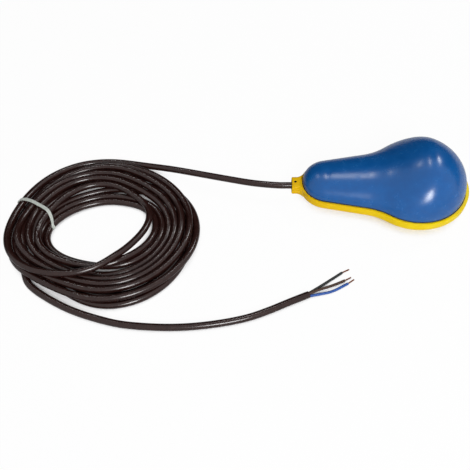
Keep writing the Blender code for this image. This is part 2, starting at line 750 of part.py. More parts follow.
def make_cover():
    half = case_width / 2
    cover = keep("switch_cover", block("switch_cover", (case_back, -half, tray_top + GAP),
                                       (case_face, half, case_top)), red_plastic)
    for side in (-1, 1):
        place = Vector((case_back + case_hole_inset, side * case_hole_pitch / 2, 0))
        hole = rod("cover_hole", screw_diameter / 2 + GAP, (place.x, place.y, tray_top - CUT),
                   (place.x, place.y, case_top + CUT), 12)
        boolean(cover, tool("cover_hole", hole), "DIFFERENCE")


def make_lever():
    """A sprung strip on a rolled barrel. Its origin is on the hinge."""
    hinge = Vector((lever_x, hinge_offset, ball_z))
    half = lever_width / 2
    edge = half - barrel_shoulder
    strip = block("switch_lever", (0, pin_diameter, -edge), (lever_thickness, lever_length, edge))
    lever = keep("switch_lever", strip, zinc_steel)
    lever.location = hinge
    barrel = tool("lever_barrel", rod("lever_barrel", barrel_diameter / 2, (0, 0, -half), (0, 0, half), 16))
    barrel.location = hinge
    boolean(lever, barrel, "UNION")
    bore = tool("lever_bore", rod("lever_bore", pin_diameter / 2 + GAP, (0, 0, -2 * half), (0, 0, 2 * half), 12))
    bore.location = hinge
    boolean(lever, bore, "DIFFERENCE")
    pin_half = half + GAP + lug_thickness
    keep("lever_pin", rod("lever_pin", pin_diameter / 2, (hinge.x, hinge.y, hinge.z - pin_half),
                          (hinge.x, hinge.y, hinge.z + pin_half), 10), zinc_steel)


def make_plunger():
    tip = lever_x - GAP
    stem = case_face - tip
    press = (plunger_offset - hinge_offset) * lever_stroke
    give = (plunger_offset - blade_root) * blade_stroke
    inner_end = blade_x + blade_thickness / 2 + GAP + press - give
    plunger = keep("switch_plunger", rod("switch_plunger", plunger_diameter / 2,
                                         (inner_end - case_face, 0, 0), (-stem, 0, 0), 16), red_plastic)
    plunger.location = (case_face, plunger_offset, ball_z)


def make_contacts():
    half = terminal_width / 2
    thick = terminal_thickness / 2
    common, opened, closed = terminal_places()
    tail_x = case_back - terminal_tail
    strip = blade_thickness / 2
    keep("terminal_common", block("terminal_common", (tail_x, common - thick, ball_z - half),
                                  (blade_x + strip, common + thick, ball_z + half)), brass)
    swing = (opened + blade_length / 2) * blade_stroke
    reach = blade_x - strip - swing - GAP - terminal_thickness * blade_stroke
    keep("terminal_open", block("terminal_open", (tail_x, opened - thick, ball_z - half),
                                (reach, opened + thick, ball_z + half)), brass)
    front = blade_x + strip + GAP
    post = keep("terminal_closed", block("terminal_closed", (tail_x, closed - thick, ball_z - half),
                                         (front + 2 * thick, closed + thick, ball_z + half)), brass)
    arm = block("closed_arm", (front, closed - 5 * thick, ball_z - half),
                (front + 2 * thick, closed, ball_z + half))
    boolean(post, tool("closed_arm", arm), "UNION")
    blade = keep("contact_blade", block("contact_blade", (-strip, 0, -blade_width / 2),
                                        (strip, blade_length, blade_width / 2)), brass)
    blade.location = (blade_x, blade_root, ball_z)


# Wires and cable


def smooth_route(points, step):
    """Points along one smooth curve through the route's own points, about a step apart."""
    knots = [Vector(p) * MM for p in points]
    ends = [2 * knots[0] - knots[1]] + knots + [2 * knots[-1] - knots[-2]]
    route = []
    for before, a, b, after in zip(ends, ends[1:], ends[2:], ends[3:]):
        count = max(1, round((b - a).length / step))
        for i in range(count):
            t = i / count
            route.append(0.5 * (2 * a + (b - before) * t + (2 * before - 5 * a + 4 * b - after) * t ** 2
                                + (3 * a - before - 3 * b + after) * t ** 3))
    route.append(knots[-1])
    return route


def tube(name, route, diameter, finish, sides=2):
    data = bpy.data.curves.new(name, "CURVE")
    data.dimensions = "3D"
    data.bevel_depth = diameter / 2
    data.bevel_resolution = sides
    data.use_fill_caps = True
    spline = data.splines.new("POLY")
    spline.points.add(len(route) - 1)
    for point, place in zip(spline.points, route):
        point.co = (*place, 1.0)
    obj = bpy.data.objects.new(name, data)
    data.materials.append(finish)
    parts.objects.link(obj)
    return obj


def core_offset(bearing, across):
    """From the sheath's middle to the core at this bearing, of three that lie round it."""
    spread = (core_diameter + GAP) / sqrt(3)
    return spread * (cos(bearing) * across + sin(bearing) * Vector((0, 0, 1)))


# The route's own points, in mm. The stretch inside the float and out of the collar follows the collar.
LEAD_ROUTE = [(-130.9, 3.5, 15.8), (-156.2, 10.1, 14.2), (-181.5, 16.4, 13.0), (-207.7, 22.6, 12.3),
              (-223.9, 29.4, 12.0), (-240.0, 35.6, 12.0)]
TAIL_ROUTE = [(-302.4, -141.7, 4.0), (-289.7, -147.8, 3.5), (-278.5, -151.9, 3.5), (-250.1, -158.2, 3.5),
              (-222.5, -160.4, 3.5), (-204.3, -160.6, 3.5), (-186.1, -159.6, 3.5), (-168.1, -157.2, 3.5),
              (-150.0, -153.7, 3.5), (-131.8, -148.6, 3.5), (-113.4, -140.9, 3.5), (-94.7, -131.8, 3.5),
              (-76.8, -123.4, 3.5)]
CORE_ROUTES = {
    "black": [(-67.7, -115.2, 2.3), (-56.7, -106.9, 1.6), (-43.6, -97.2, 1.5)],
    "brown": [(-66.0, -118.0, 3.9), (-53.7, -112.2, 2.0), (-41.5, -106.1, 1.5)],
    "blue": [(-65.8, -121.9, 1.9), (-53.7, -118.1, 1.4), (-38.9, -109.5, 1.4)],
}
COPPER_TIPS = {
    "black": (-36.6, -93.4, 1.4),
    "brown": (-35.5, -102.6, 1.4),
    "blue": (-32.8, -104.9, 1.4),
}


def make_cable():
    lead = [(sheath_x / MM, 0.0, cable_z / MM), (mouth_x / MM, 0.0, cable_z / MM),
            (mouth_x / MM - 16.0, 0.3, cable_z / MM - 0.3)]
    tube("cable_lead", smooth_route(lead + LEAD_ROUTE, 2.2 * cable_diameter), cable_diameter, black_sheath, 3)
    tail = smooth_route(TAIL_ROUTE, 2.2 * cable_diameter)
    tube("cable_tail", tail, cable_diameter, black_sheath, 3)
    finishes = {"brown": brown_cover, "blue": blue_cover, "black": black_cover}
    end = tail[-1]
    forward = (tail[-1] - tail[-2]).normalized()
    side = Vector((-forward.y, forward.x, 0.0))
    bearings = {"black": radians(330), "brown": radians(90), "blue": radians(210)}
    for name, route in CORE_ROUTES.items():
        leaves = end + forward * GAP + core_offset(bearings[name], side)
        start = leaves / MM
        ahead = (leaves + forward * core_diameter) / MM
        core = smooth_route([start, ahead] + route, 1.6 * core_diameter)
        tube(f"core_{name}", core, core_diameter, finishes[name])
        tip = Vector(COPPER_TIPS[name]) * MM
        line = (tip - core[-1]).normalized()
        middle = core[-1] + line * GAP
        tube(f"copper_{name}", [middle, (middle + tip) / 2, tip], copper_diameter, copper)


def make_inner_wires():
    """Three cores from the sheath's end, along the neck and through the box's slot to the terminals."""
    across = Vector((0, 1, 0))
    start_x = sheath_x + GAP
    middle_x = (start_x + box_left) / 2
    end_x = case_back - terminal_tail - GAP
    common, opened, closed = terminal_places()
    plan = (("blue", blue_cover, radians(210), common), ("brown", brown_cover, radians(90), opened),
            ("black", black_cover, radians(330), closed))
    for name, finish, bearing, y in plan:
        start = Vector((start_x, 0, cable_z)) + core_offset(bearing, across)
        gather = start + Vector((core_diameter * 2, 0, 0))
        halfway = Vector((middle_x, (start.y + y) / 2, (start.z + ball_z) / 2))
        entry = Vector((box_left - core_diameter, y, ball_z))
        end = Vector((end_x, y, ball_z))
        route = smooth_route([p / MM for p in (start, gather, halfway, entry, end)], 2.5 * core_diameter)
        tube(f"wire_{name}", route, core_diameter, finish)


def bundle_section(grow=0.0, stretch=1.0):
    """Section of the coiled cable, grown by grow: a rounded bundle, as (distance out, height)."""
    middle = (coil_outer + coil_inner) / 2
    half = (coil_outer - coil_inner) / 2 - cable_radius
    edge = cable_radius + grow
    corners = ((half, coil_height - cable_radius, pi / 2, 0), (half, cable_radius, 0, -pi / 2),
               (-half, cable_radius, -pi / 2, -pi), (-half, coil_height - cable_radius, pi, pi / 2))
    points = []
    for x, z, start, end in corners:
        points += arc(((middle + x) * stretch, z), edge, start, end, 3)
    return points


def make_coil():
    bm = bmesh.new()
    section = bundle_section()
    points = [bm.verts.new((p.x, 0, p.y)) for p in section]
    edges = [bm.edges.new(pair) for pair in zip(points, points[1:] + points[:1])]
    bmesh.ops.spin(bm, geom=points + edges, axis=(0, 0, 1), cent=(0, 0, 0), angle=2 * pi, steps=48,
                   use_merge=True)
    bmesh.ops.remove_doubles(bm, verts=bm.verts, dist=0.005 * MM)
    bmesh.ops.scale(bm, vec=(1, coil_roundness, 1), verts=bm.verts)
    coil = keep("cable_coil", mesh_from(bm, "cable_coil"), black_sheath)
    coil.data.shade_smooth()
    coil.location = coil_centre


def make_tie():
    """A band round the bundle, across the ring at the tie's bearing."""
    out = Vector((cos(tie_bearing), coil_roundness * sin(tie_bearing), 0))
    stretch = out.length
    out.normalize()
    up = Vector((0, 0, 1))
    place = Matrix((out, up, out.cross(up))).transposed().to_4x4()
    place.translation = coil_centre
    inner = bundle_section(GAP, stretch)
    outer = bundle_section(GAP + tie_thickness, stretch)
    keep("coil_tie", band("coil_tie", outer, inner, tie_width, place), tie_plastic)


make_upper_shell()
make_lower_shell()
make_rim_seal()
collar_ring("gland_bush", mouth_x, bush_length, black_rubber)
collar_ring("gland_washer", washer_x, washer_thickness, grey_plastic)
make_clamp()
make_box()
make_lid()
make_track()
make_ball()
make_case()
make_cover()
make_lever()
make_plunger()
make_contacts()
make_fasteners()
make_inner_wires()
make_cable()
make_coil()
make_tie()
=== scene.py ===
# %% [markdown]
# # A cable float switch
# A float switch hangs in a tank on its own cable. Inside its sealed float a steel ball rolls when the
# float tips over, and trips a small switch. This lesson dresses its plain solids as a studio photograph:
# a glossy two colour float, ten turns of black cable held by a pale tie, and three stripped cores.
#
# The frame comes first. It is the object's solid model, with every piece in its place, in metres, +Z up.
# Each new piece rides on one of its bodies and stands for one or more of its nodes.

# %% Load the frame and keep its box
from math import asin, atan2, cos, pi, radians, sin, sqrt

import bmesh
import bpy
import numpy as np
from mathutils import Matrix, Vector


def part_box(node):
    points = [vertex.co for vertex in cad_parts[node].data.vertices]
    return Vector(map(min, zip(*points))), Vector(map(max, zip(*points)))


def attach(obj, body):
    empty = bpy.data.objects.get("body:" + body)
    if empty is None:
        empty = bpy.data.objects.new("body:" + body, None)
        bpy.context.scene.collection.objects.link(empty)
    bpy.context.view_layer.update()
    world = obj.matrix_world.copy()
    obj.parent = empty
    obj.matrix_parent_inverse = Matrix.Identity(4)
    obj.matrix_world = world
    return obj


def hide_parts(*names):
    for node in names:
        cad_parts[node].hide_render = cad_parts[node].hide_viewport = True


MM = 0.001
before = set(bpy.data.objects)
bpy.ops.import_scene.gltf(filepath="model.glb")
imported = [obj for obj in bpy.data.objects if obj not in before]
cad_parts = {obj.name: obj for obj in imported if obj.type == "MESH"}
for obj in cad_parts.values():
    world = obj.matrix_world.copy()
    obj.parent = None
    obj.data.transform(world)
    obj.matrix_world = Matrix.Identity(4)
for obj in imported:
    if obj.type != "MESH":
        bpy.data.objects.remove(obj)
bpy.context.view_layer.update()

# %% [markdown]
# ## The camera
# The photograph looks down on the object from the front, at about 53 degrees, and the float lies near
# the upper right corner. The perspective of the coil and of the cable's width gave the lens: 51 mm on a
# 36 mm wide sensor. A camera looks along its own -Z, so it is built from the three directions it needs.

# %% Camera
camera_data = bpy.data.cameras.new("studio_camera")
camera_data.lens = 51.15
camera_data.sensor_width = 36.0
camera_data.clip_start = 0.05
camera = bpy.data.objects.new("studio_camera", camera_data)
bpy.context.scene.collection.objects.link(camera)
camera_place = Vector((-134.83, -454.91, 538.38)) * MM
pitch, turn, roll = radians(53.20), radians(1.811), radians(-0.768)
forward = Vector((-sin(turn) * cos(pitch), cos(turn) * cos(pitch), -sin(pitch)))
right = Vector((cos(turn), sin(turn), 0.0))
up = right.cross(forward)
axes = Matrix((right, up, -forward)).transposed()
camera.matrix_world = (
    Matrix.Translation(camera_place)
    @ axes.to_4x4() @ Matrix.Rotation(roll, 4, "Z")
)
bpy.context.scene.camera = camera
bpy.context.scene.view_settings.view_transform = "Standard"
print("camera at", [round(v, 3) for v in camera.location])

# %% [markdown]
# ## Helpers for colours, nodes and pieces
# A colour picker shows sRGB values, while shaders work in linear light, so one function turns a hex
# colour into linear numbers. The next adds a node, sets its sockets and links its inputs, which keeps
# each material short enough to read as a list of what happens to the light. The last one says which
# nodes of the frame a new piece stands for.


# %% Helpers
relief_depth = 0.02 * MM


def linear(hex_colour):
    """An sRGB hex colour as linear RGBA."""
    parts = [int(hex_colour[i:i + 2], 16) / 255 for i in (1, 3, 5)]
    return [c / 12.92 if c <= 0.04045 else ((c + 0.055) / 1.055) ** 2.4 for c in parts] + [1.0]


def add(tree, kind, links=None, sockets=None, **settings):
    """Adds a node. Links and sockets are given by input name or number; settings are its properties."""
    node = tree.nodes.new(kind)
    for key, value in settings.items():
        setattr(node, key, value)
    for key, value in (sockets or {}).items():
        node.inputs[key].default_value = value
    for key, source in (links or {}).items():
        tree.links.new(source, node.inputs[key])
    return node


def noise(tree, place, scale, detail, roughness=0.5):
    """The value of a noise texture."""
    return add(tree, "ShaderNodeTexNoise", {"Vector": place},
               {"Scale": scale, "Detail": detail, "Roughness": roughness}).outputs["Fac"]


def spread(tree, value, low, high, least=0.0, most=1.0):
    """A value between low and high, spread over least to most."""
    return add(tree, "ShaderNodeMapRange", {"Value": value},
               {"From Min": low, "From Max": high, "To Min": least, "To Max": most}).outputs[0]


def new_material(name, **shader_sockets):
    """A material with one Principled shader, whose constants sit on its own sockets."""
    made = bpy.data.materials.new(name)
    made.use_nodes = True
    shader = made.node_tree.nodes["Principled BSDF"]
    for key, value in shader_sockets.items():
        shader.inputs[key.replace("_", " ")].default_value = value
    return made, made.node_tree, shader


def cover(tree, shader, hue, gloss, height, strength):
    """Links a colour, a roughness and a fine relief to a shader."""
    relief = add(tree, "ShaderNodeBump", {"Height": height},
                 {"Strength": strength, "Distance": relief_depth}).outputs[0]
    for key, source in (("Base Color", hue.outputs[2]), ("Roughness", gloss), ("Normal", relief)):
        tree.links.new(source, shader.inputs[key])


def new_piece(name, data, finish, nodes, body="float"):
    """Links a piece that stands for some of the frame's nodes."""
    made = bpy.data.objects.new(name, data)
    bpy.context.scene.collection.objects.link(made)
    data.materials.append(finish)
    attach(made, body)
    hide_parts(*nodes)
    return made


# %% [markdown]
# ## Light, floor and background
# The object stands on a pale floor in front of white. The world is plain white to the camera, and dimmer
# as a lamp, so the colours stay as they are written. Gloss sees that white too, but only from above and
# from the camera's side. Behind the object the studio is darker, and that gives the float its dark far
# side, with an edge along the crest of the neck. The floor does the same in its own material: mostly
# white to the camera, with enough real diffuse light left to keep a soft shadow.
#
# Each gleam on the float is the mirror image of one lamp, so each lamp stands where the surface's
# reflection of the view points to: a long tube for the streak along the neck, two small lamps for the
# spots on the bulb, and a window behind the camera for the broad gleam.

# %% World and floor
world = bpy.data.worlds.new("studio_world")
world.use_nodes = True
bpy.context.scene.world = world
tree = world.node_tree
tree.nodes.clear()
rays = add(tree, "ShaderNodeLightPath")
direction = add(tree, "ShaderNodeTexCoord")
# Above zero on the bright side of a plane that leans 62 degrees up from the far horizon.
side = add(tree, "ShaderNodeVectorMath", {0: direction.outputs["Generated"]}, {1: (0.0, -0.883, 0.469)},
           operation="DOT_PRODUCT")
seen_in_gloss = add(tree, "ShaderNodeMapRange", {"Value": side.outputs["Value"]},
                    {"From Min": -0.10, "From Max": 0.06, "To Min": 0.015, "To Max": 0.95},
                    interpolation_type="SMOOTHSTEP")
seen = add(tree, "ShaderNodeMath", {0: rays.outputs["Is Camera Ray"], 1: rays.outputs["Is Transmission Ray"]},
           operation="MAXIMUM")
strength = add(tree, "ShaderNodeMath", {0: rays.outputs["Is Glossy Ray"], 1: seen_in_gloss.outputs[0],
                                        2: seen.outputs[0]}, operation="MULTIPLY_ADD")
share = add(tree, "ShaderNodeMath", {0: rays.outputs["Is Glossy Ray"], 1: seen.outputs[0]},
            operation="MAXIMUM")
lamp = add(tree, "ShaderNodeBackground", sockets={"Color": linear("#F2F5FF"), "Strength": 0.11})
white = add(tree, "ShaderNodeBackground", {"Strength": strength.outputs[0]}, {"Color": (1, 1, 1, 1)})
both = add(tree, "ShaderNodeMixShader", {0: share.outputs[0], 1: lamp.outputs[0], 2: white.outputs[0]})
add(tree, "ShaderNodeOutputWorld", {"Surface": both.outputs[0]})

floor_finish = bpy.data.materials.new("white_studio_paper")
floor_finish.use_nodes = True
tree = floor_finish.node_tree
tree.nodes.clear()
rays = add(tree, "ShaderNodeLightPath")
# Ambient occlusion turns down the paper's glow to the camera: painted shade in the narrow gaps between turns
# of cable.
shelter = add(tree, "ShaderNodeAmbientOcclusion", sockets={"Distance": 14 * MM}, samples=8)
open_air = spread(tree, shelter.outputs["AO"], 0.22, 0.55, 0.05, 0.96)
share = add(tree, "ShaderNodeMath", {0: rays.outputs["Is Camera Ray"], 1: open_air},
            operation="MULTIPLY")
paper = add(tree, "ShaderNodeBsdfDiffuse", sockets={"Color": linear("#F4F4F4")})
glow = add(tree, "ShaderNodeEmission", sockets={"Color": (1, 1, 1, 1), "Strength": 1.0})
both = add(tree, "ShaderNodeMixShader", {0: share.outputs[0], 1: paper.outputs[0], 2: glow.outputs[0]})
add(tree, "ShaderNodeOutputMaterial", {"Surface": both.outputs[0]})

bm = bmesh.new()
bmesh.ops.create_grid(bm, x_segments=1, y_segments=1, size=6.0)
floor_mesh = bpy.data.meshes.new("studio_floor")
bm.to_mesh(floor_mesh)
bm.free()
floor_mesh.materials.append(floor_finish)
floor = bpy.data.objects.new("studio_floor", floor_mesh)
bpy.context.scene.collection.objects.link(floor)
print("world:", world.name, "and floor:", floor.name)

# %% Lamps
lamp_distance = 1.6


def lamp_at(name, target, toward, size, power, size_y=None):
    """An area lamp that faces a point of the object from the direction of its reflection."""
    data = bpy.data.lights.new(name, "AREA")
    data.shape = "RECTANGLE" if size_y else "DISK"
    data.size = size
    if size_y:
        data.size_y = size_y
    data.energy = power
    made = bpy.data.objects.new(name, data)
    bpy.context.scene.collection.objects.link(made)
    made.location = Vector(target) * MM + Vector(toward).normalized() * lamp_distance
    made.rotation_euler = (-Vector(toward)).to_track_quat("-Z", "Y").to_euler()


# The point in mm where its gleam lies, the way to the lamp, its width in metres, its watts and its height.
lamp_at("window_lamp", (38, -40, 49), (0.11, -0.77, 0.63), 0.40, 20.5, 0.60)
lamp_at("left_lamp", (24, -12, 58), (-0.43, 0.46, 0.78), 0.06, 0.9)
lamp_at("right_lamp", (49, -8, 65), (0.50, 0.46, 0.72), 0.30, 5.5)
lamp_at("tube_lamp", (-19, -7, 42), (-0.06, 0.40, 0.91), 0.045, 1.9, 0.36)

# %% [markdown]
# ## The route of the cable
# The cable is one piece, about five metres long, so it is one line: straight out of the collar, over to
# the coil, ten times round, and out again to the stripped end. The two loose stretches follow a smooth
# curve through a few points. In the coil every turn keeps between an inner and an outer loop, and moves
# from one lane to another as it goes round, the way cable wound by hand does.
#
# Turns that share a lane would pass through each other, so they are settled: points of neighbouring turns
# closer than one diameter push each other apart, and gravity keeps the pile on the floor. Where the tie
# passes underneath, the turns lie on the tie.

# %% Sizes of the cable
cable_diameter = 6.8 * MM
cable_radius = cable_diameter / 2
collar_mouth = Vector((-90.2, 0.0, 16.712)) * MM
sheath_start = collar_mouth + Vector((29.0, 0, 0)) * MM
coil_centre = np.array([-280.2, -48.0]) * MM
# The tie crosses the turns from their outer side to their inner side here.
tie_outer = np.array([-374.5, -24.0]) * MM
tie_inner = np.array([-331.0, -49.0]) * MM
# All round this line the turns are lifted off the floor, which leaves the strip its room below them.
lift_outer = np.array([-373.5, -19.5]) * MM
lift_inner = np.array([-329.5, -47.5]) * MM
lift_reach = 30 * MM
lift_fade = 45 * MM
strip_room = 0.15 * MM
tie_width = 3.6 * MM
tie_thickness = 0.9 * MM
tie_from, tie_to = -12 * MM, 62 * MM    # the crossings that the tie may hold, along its own line
tie_bow = 9.0 * MM
# The middle of the outermost and of the innermost turn, as radius by bearing from the coil's centre.
outer_loop = {0: 96.4, 15: 93.9, 30: 90.1, 45: 86.8, 62: 85.6, 75: 88.0, 90: 90.6, 105: 91.6, 120: 92.2,
              135: 91.8, 150: 90.4, 160: 89.6, 170: 90.0, 180: 92.1, 190: 95.6, 200: 96.6, 210: 94.8,
              222: 92.2, 232: 87.5, 246: 87.0, 258: 89.5, 268: 93.0, 276: 94.6, 290: 95.6, 304: 96.4,
              332: 96.8}
inner_loop = {0: 44.9, 15: 46.2, 30: 45.0, 45: 40.7, 60: 37.0, 75: 35.2, 90: 34.6, 105: 34.4, 120: 35.4,
              135: 38.0, 150: 42.0, 160: 46.0, 172: 51.5, 184: 56.6, 196: 58.4, 210: 56.4, 222: 52.4,
              244: 46.4, 260: 44.2, 276: 43.0, 290: 42.0, 304: 41.0, 318: 40.6, 332: 41.4, 346: 42.9}
turn_steps = 96
first_bearing, last_bearing = 62.0, 3812.0
print("cable:", round(cable_diameter / MM, 1), "mm thick")


# %% Smooth curves through chosen points
def smooth_line(points, step):
    """A smooth curve through the points, sampled about a step apart."""
    knots = np.array(points, float)
    knots = np.vstack([2 * knots[0] - knots[1], knots, 2 * knots[-1] - knots[-2]])
    line = []
    for before, a, b, after in zip(knots, knots[1:], knots[2:], knots[3:]):
        count = max(1, round(np.linalg.norm(b - a) / step))
        t = (np.arange(count) / count)[:, None]
        line.append(0.5 * (2 * a + (b - before) * t + (2 * before - 5 * a + 4 * b - after) * t ** 2
                           + (3 * a - before - 3 * b + after) * t ** 3))
    return np.vstack(line + [knots[-2:-1]])


def round_table(table, bearings):
    """Smooth values between a table's bearings in degrees, right round the circle."""
    keys = np.array(sorted(table), float)
    values = np.array([table[int(k)] for k in keys], float)
    keys = np.concatenate([keys - 360, keys, keys + 360])
    values = np.tile(values, 3)
    at = np.mod(bearings, 360.0)
    i = np.searchsorted(keys, at, side="right") - 1
    t = (at - keys[i]) / (keys[i + 1] - keys[i])
    slope = np.gradient(values, keys)
    span = keys[i + 1] - keys[i]
    return ((2 * t ** 3 - 3 * t ** 2 + 1) * values[i] + (t ** 3 - 2 * t ** 2 + t) * span * slope[i]
            + (3 * t ** 2 - 2 * t ** 3) * values[i + 1] + (t ** 3 - t ** 2) * span * slope[i + 1])


def resting_height(points):
    """Lowest height of the cable's middle: its radius, and more where the tie lies under the turns."""
    along = (lift_inner - lift_outer) / np.linalg.norm(lift_inner - lift_outer)
    across = np.array([-along[1], along[0]])
    offset = points[:, :2] - (lift_outer + lift_inner) / 2
    far = np.maximum(np.abs(offset @ along) - lift_reach, 0.0) + np.abs(offset @ across)
    # The lift is full to 0.3 of the fade's length and gone at 1.3 of it.
    lift = np.clip(1.3 - far / lift_fade, 0.0, 1.0)
    return cable_radius + (tie_thickness + strip_room) * lift * lift * (3 - 2 * lift)


# %% Lanes of the coil
# One row for each turn, from the lead on, and one column for each place round the coil. A lane of 0 is
# the outermost and 1 the innermost.
places = [90, 150, 185, 225, 270, 320, 360, 405]
lane_table = [
    [0.00, 0.00, 0.00, 0.04, 0.80, 1.00, 1.00, 0.90],
    [0.64, 0.62, 0.62, 0.70, 0.84, 0.83, 0.78, 0.95],
    [1.00, 1.00, 1.00, 0.97, 0.97, 0.71, 0.66, 0.81],
    [0.89, 0.86, 0.86, 0.84, 0.72, 0.59, 0.55, 0.67],
    [0.54, 0.50, 0.52, 0.58, 0.60, 0.48, 0.44, 0.42],
    [0.36, 0.36, 0.40, 0.46, 0.48, 0.36, 0.33, 0.19],
    [0.16, 0.22, 0.30, 0.34, 0.36, 0.24, 0.12, 0.00],
    [0.04, 0.10, 0.18, 0.18, 0.13, 0.02, 0.00, 0.08],
    [0.26, 0.34, 0.42, 0.30, 0.00, 0.00, 0.11, 0.30],
    [0.46, 0.56, 0.68, 0.62, 0.24, 0.12, 0.22, 0.54],
    [0.77, 0.74, 0.47, 0.00],
]
lane_plan = [(first_bearing, 0.0)] + [(360 * turn + place, lane) for turn, row in enumerate(lane_table)
                                      for place, lane in zip(places, row)]
bearings = np.arange(first_bearing, last_bearing, 360.0 / turn_steps)
plan = np.array(lane_plan, float)
blend = 12
wider = bearings[0] + (np.arange(len(bearings) + 2 * blend) - blend) * 360.0 / turn_steps
kernel = np.hanning(2 * blend + 3)[1:-1]
lanes = np.convolve(np.interp(wider, plan[:, 0], plan[:, 1]), kernel / kernel.sum(), mode="valid")
outer = round_table(outer_loop, bearings) * MM
inner = round_table(inner_loop, bearings) * MM
radius = outer + (inner - outer) * lanes
angle = np.radians(bearings)
coil = np.column_stack([coil_centre[0] + radius * np.cos(angle), coil_centre[1] + radius * np.sin(angle),
                        np.zeros(len(angle))])
# The turn that was wound on last lies on top, so the height to start from falls along the line.
coil[:, 2] = cable_radius + np.linspace(14.0, 0.0, len(coil)) * MM
# The lead comes in low, under the turn that leans over it, and climbs on top on its way to the tie.
coil[:, 2] -= np.interp(bearings, (first_bearing, 100, 170), (14.0, 12.0, 0.0)) * MM
print("turns in the coil:", round((bearings[-1] - bearings[0]) / 360, 2))

# %% The two loose stretches
lead_points = [collar_mouth, collar_mouth + Vector((-16.0, 0.3, -0.3)) * MM] + [Vector(p) * MM for p in (
    (-130.9, 3.5, 15.8), (-156.2, 10.1, 14.2), (-177.4, 16.0, 12.8), (-196.8, 21.2, 11.8),
    (-216.5, 27.2, 9.8), (-232.0, 31.8, 7.4), (-248.0, 36.4, 5.0))]
tail_points = [Vector(p) * MM for p in (
    (-343.1, -116.0, 3.4), (-332.9, -124.2, 3.4), (-323.1, -130.7, 3.4), (-304.4, -141.0, 3.4),
    (-286.4, -148.3, 3.4), (-269.1, -153.5, 3.5), (-250.1, -158.2, 3.5), (-222.5, -160.4, 3.5),
    (-204.3, -160.6, 3.5), (-186.1, -159.6, 3.5), (-168.1, -157.2, 3.5), (-150.0, -153.7, 3.5),
    (-131.8, -148.6, 3.5), (-113.4, -140.9, 3.5), (-94.7, -131.8, 3.5), (-76.8, -123.4, 3.5))]
print("the loose stretches pass", len(lead_points), "and", len(tail_points), "points")


# %% Settle the coil
def eased(values, reach):
    """Values smoothed along the line, with both ends held."""
    kernel = np.hanning(2 * reach + 3)
    kernel /= kernel.sum()
    start, end = np.repeat(values[:1], reach + 1, 0), np.repeat(values[-1:], reach + 1, 0)
    padded = np.concatenate([start, values, end])
    return np.column_stack([np.convolve(column, kernel, mode="valid") for column in padded.T])


def settle(line, low, high, rounds, gap):
    """Pushes turns nearer than gap apart, and keeps them on the floor and between two loops."""
    eagerness = 1.6
    fall = 0.12 * MM
    wanted = line.copy()
    moved = np.zeros_like(line)
    count = len(line)
    for step in range(rounds):
        line = wanted + moved
        push = np.zeros_like(line)
        hits = np.full(count, 1e-9)
        for turns in range(1, 11):
            for shift in range(-4, 5):
                offset = turns * turn_steps + shift
                if offset >= count:
                    continue
                apart = line[offset:] - line[:-offset]
                distance = np.maximum(np.linalg.norm(apart, axis=1), 1e-6)
                depth = np.maximum(gap - distance, 0.0) * 0.5
                part = apart / distance[:, None] * depth[:, None]
                push[offset:] += part * depth[:, None]
                push[:-offset] -= part * depth[:, None]
                hits[offset:] += depth
                hits[:-offset] += depth
        moved += push / hits[:, None] * eagerness
        moved[:, 2] -= fall * (1.0 - step / rounds)
        moved = eased(moved, 6 if step < rounds * 0.8 else 2)
        line = wanted + moved
        line[:, 2] = np.maximum(line[:, 2], resting_height(line))
        spoke = line[:, :2] - coil_centre
        reach = np.linalg.norm(spoke, axis=1)
        line[:, :2] = coil_centre + spoke * (np.clip(reach, low, high) / reach)[:, None]
        moved = line - wanted
    return line


coil = settle(coil, inner, outer, 260, cable_diameter * 1.02)
print("coil height:", round((coil[:, 2].max() + cable_radius) / MM, 1), "mm")

# %% One line for the whole cable
# The lead joins the coil a few steps in. Each stretch shares an overlap of steps with the coil.
join_in = 7
overlap = 9
joined = coil[join_in:join_in + overlap:4]
lead = smooth_line([sheath_start] + lead_points + [Vector(p) for p in joined], 3.0 * MM)
tail = smooth_line([Vector(p) for p in coil[-overlap::4]] + tail_points, 3.0 * MM)
route = np.vstack([lead[:-1], coil[join_in + overlap:-overlap], tail])


def relax(line, gap, rounds, fixed):
    """Pushes the whole line clear of itself, ends held, with any two stretches of it taken together."""
    walked = np.concatenate([[0.0], np.cumsum(np.linalg.norm(np.diff(line, axis=0), axis=1))])
    far_along = np.abs(walked[:, None] - walked[None, :]) > 6 * gap
    free = np.clip(np.minimum(walked - fixed, walked[-1] - fixed - walked) / (30 * MM), 0.0, 1.0)[:, None]
    for step in range(rounds):
        square = (line ** 2).sum(axis=1)
        near = (square[:, None] + square[None, :] - 2 * line @ line.T < gap * gap) & far_along
        first, second = np.nonzero(near)
        apart = line[first] - line[second]
        distance = np.maximum(np.linalg.norm(apart, axis=1), 1e-6)
        part = apart / distance[:, None] * np.maximum(gap - distance, 0.0)[:, None] * 0.5
        push = np.zeros_like(line)
        hits = np.ones(len(line)) * 1e-9
        np.add.at(push, first, part)
        np.add.at(hits, first, 1.0)
        push = eased(push / np.maximum(hits, 1.0)[:, None], 3) * 1.5
        line = line + (push + (eased(line, 2) - line) * 0.15) * free
        line[:, 2] = np.maximum(line[:, 2], resting_height(line))
    return line


route = relax(route, cable_diameter * 1.005, 40, 60 * MM)

# %% [markdown]
# ## Finishes of the moulded and extruded plastics
# Moulded plastic is never one flat colour. It has faint flow marks, a fine grain that breaks up the gloss,
# and hairline rubs where it has been handled. One function makes all of them from a base colour, a second
# colour for the flow marks, and the size of the grain in millimetres.


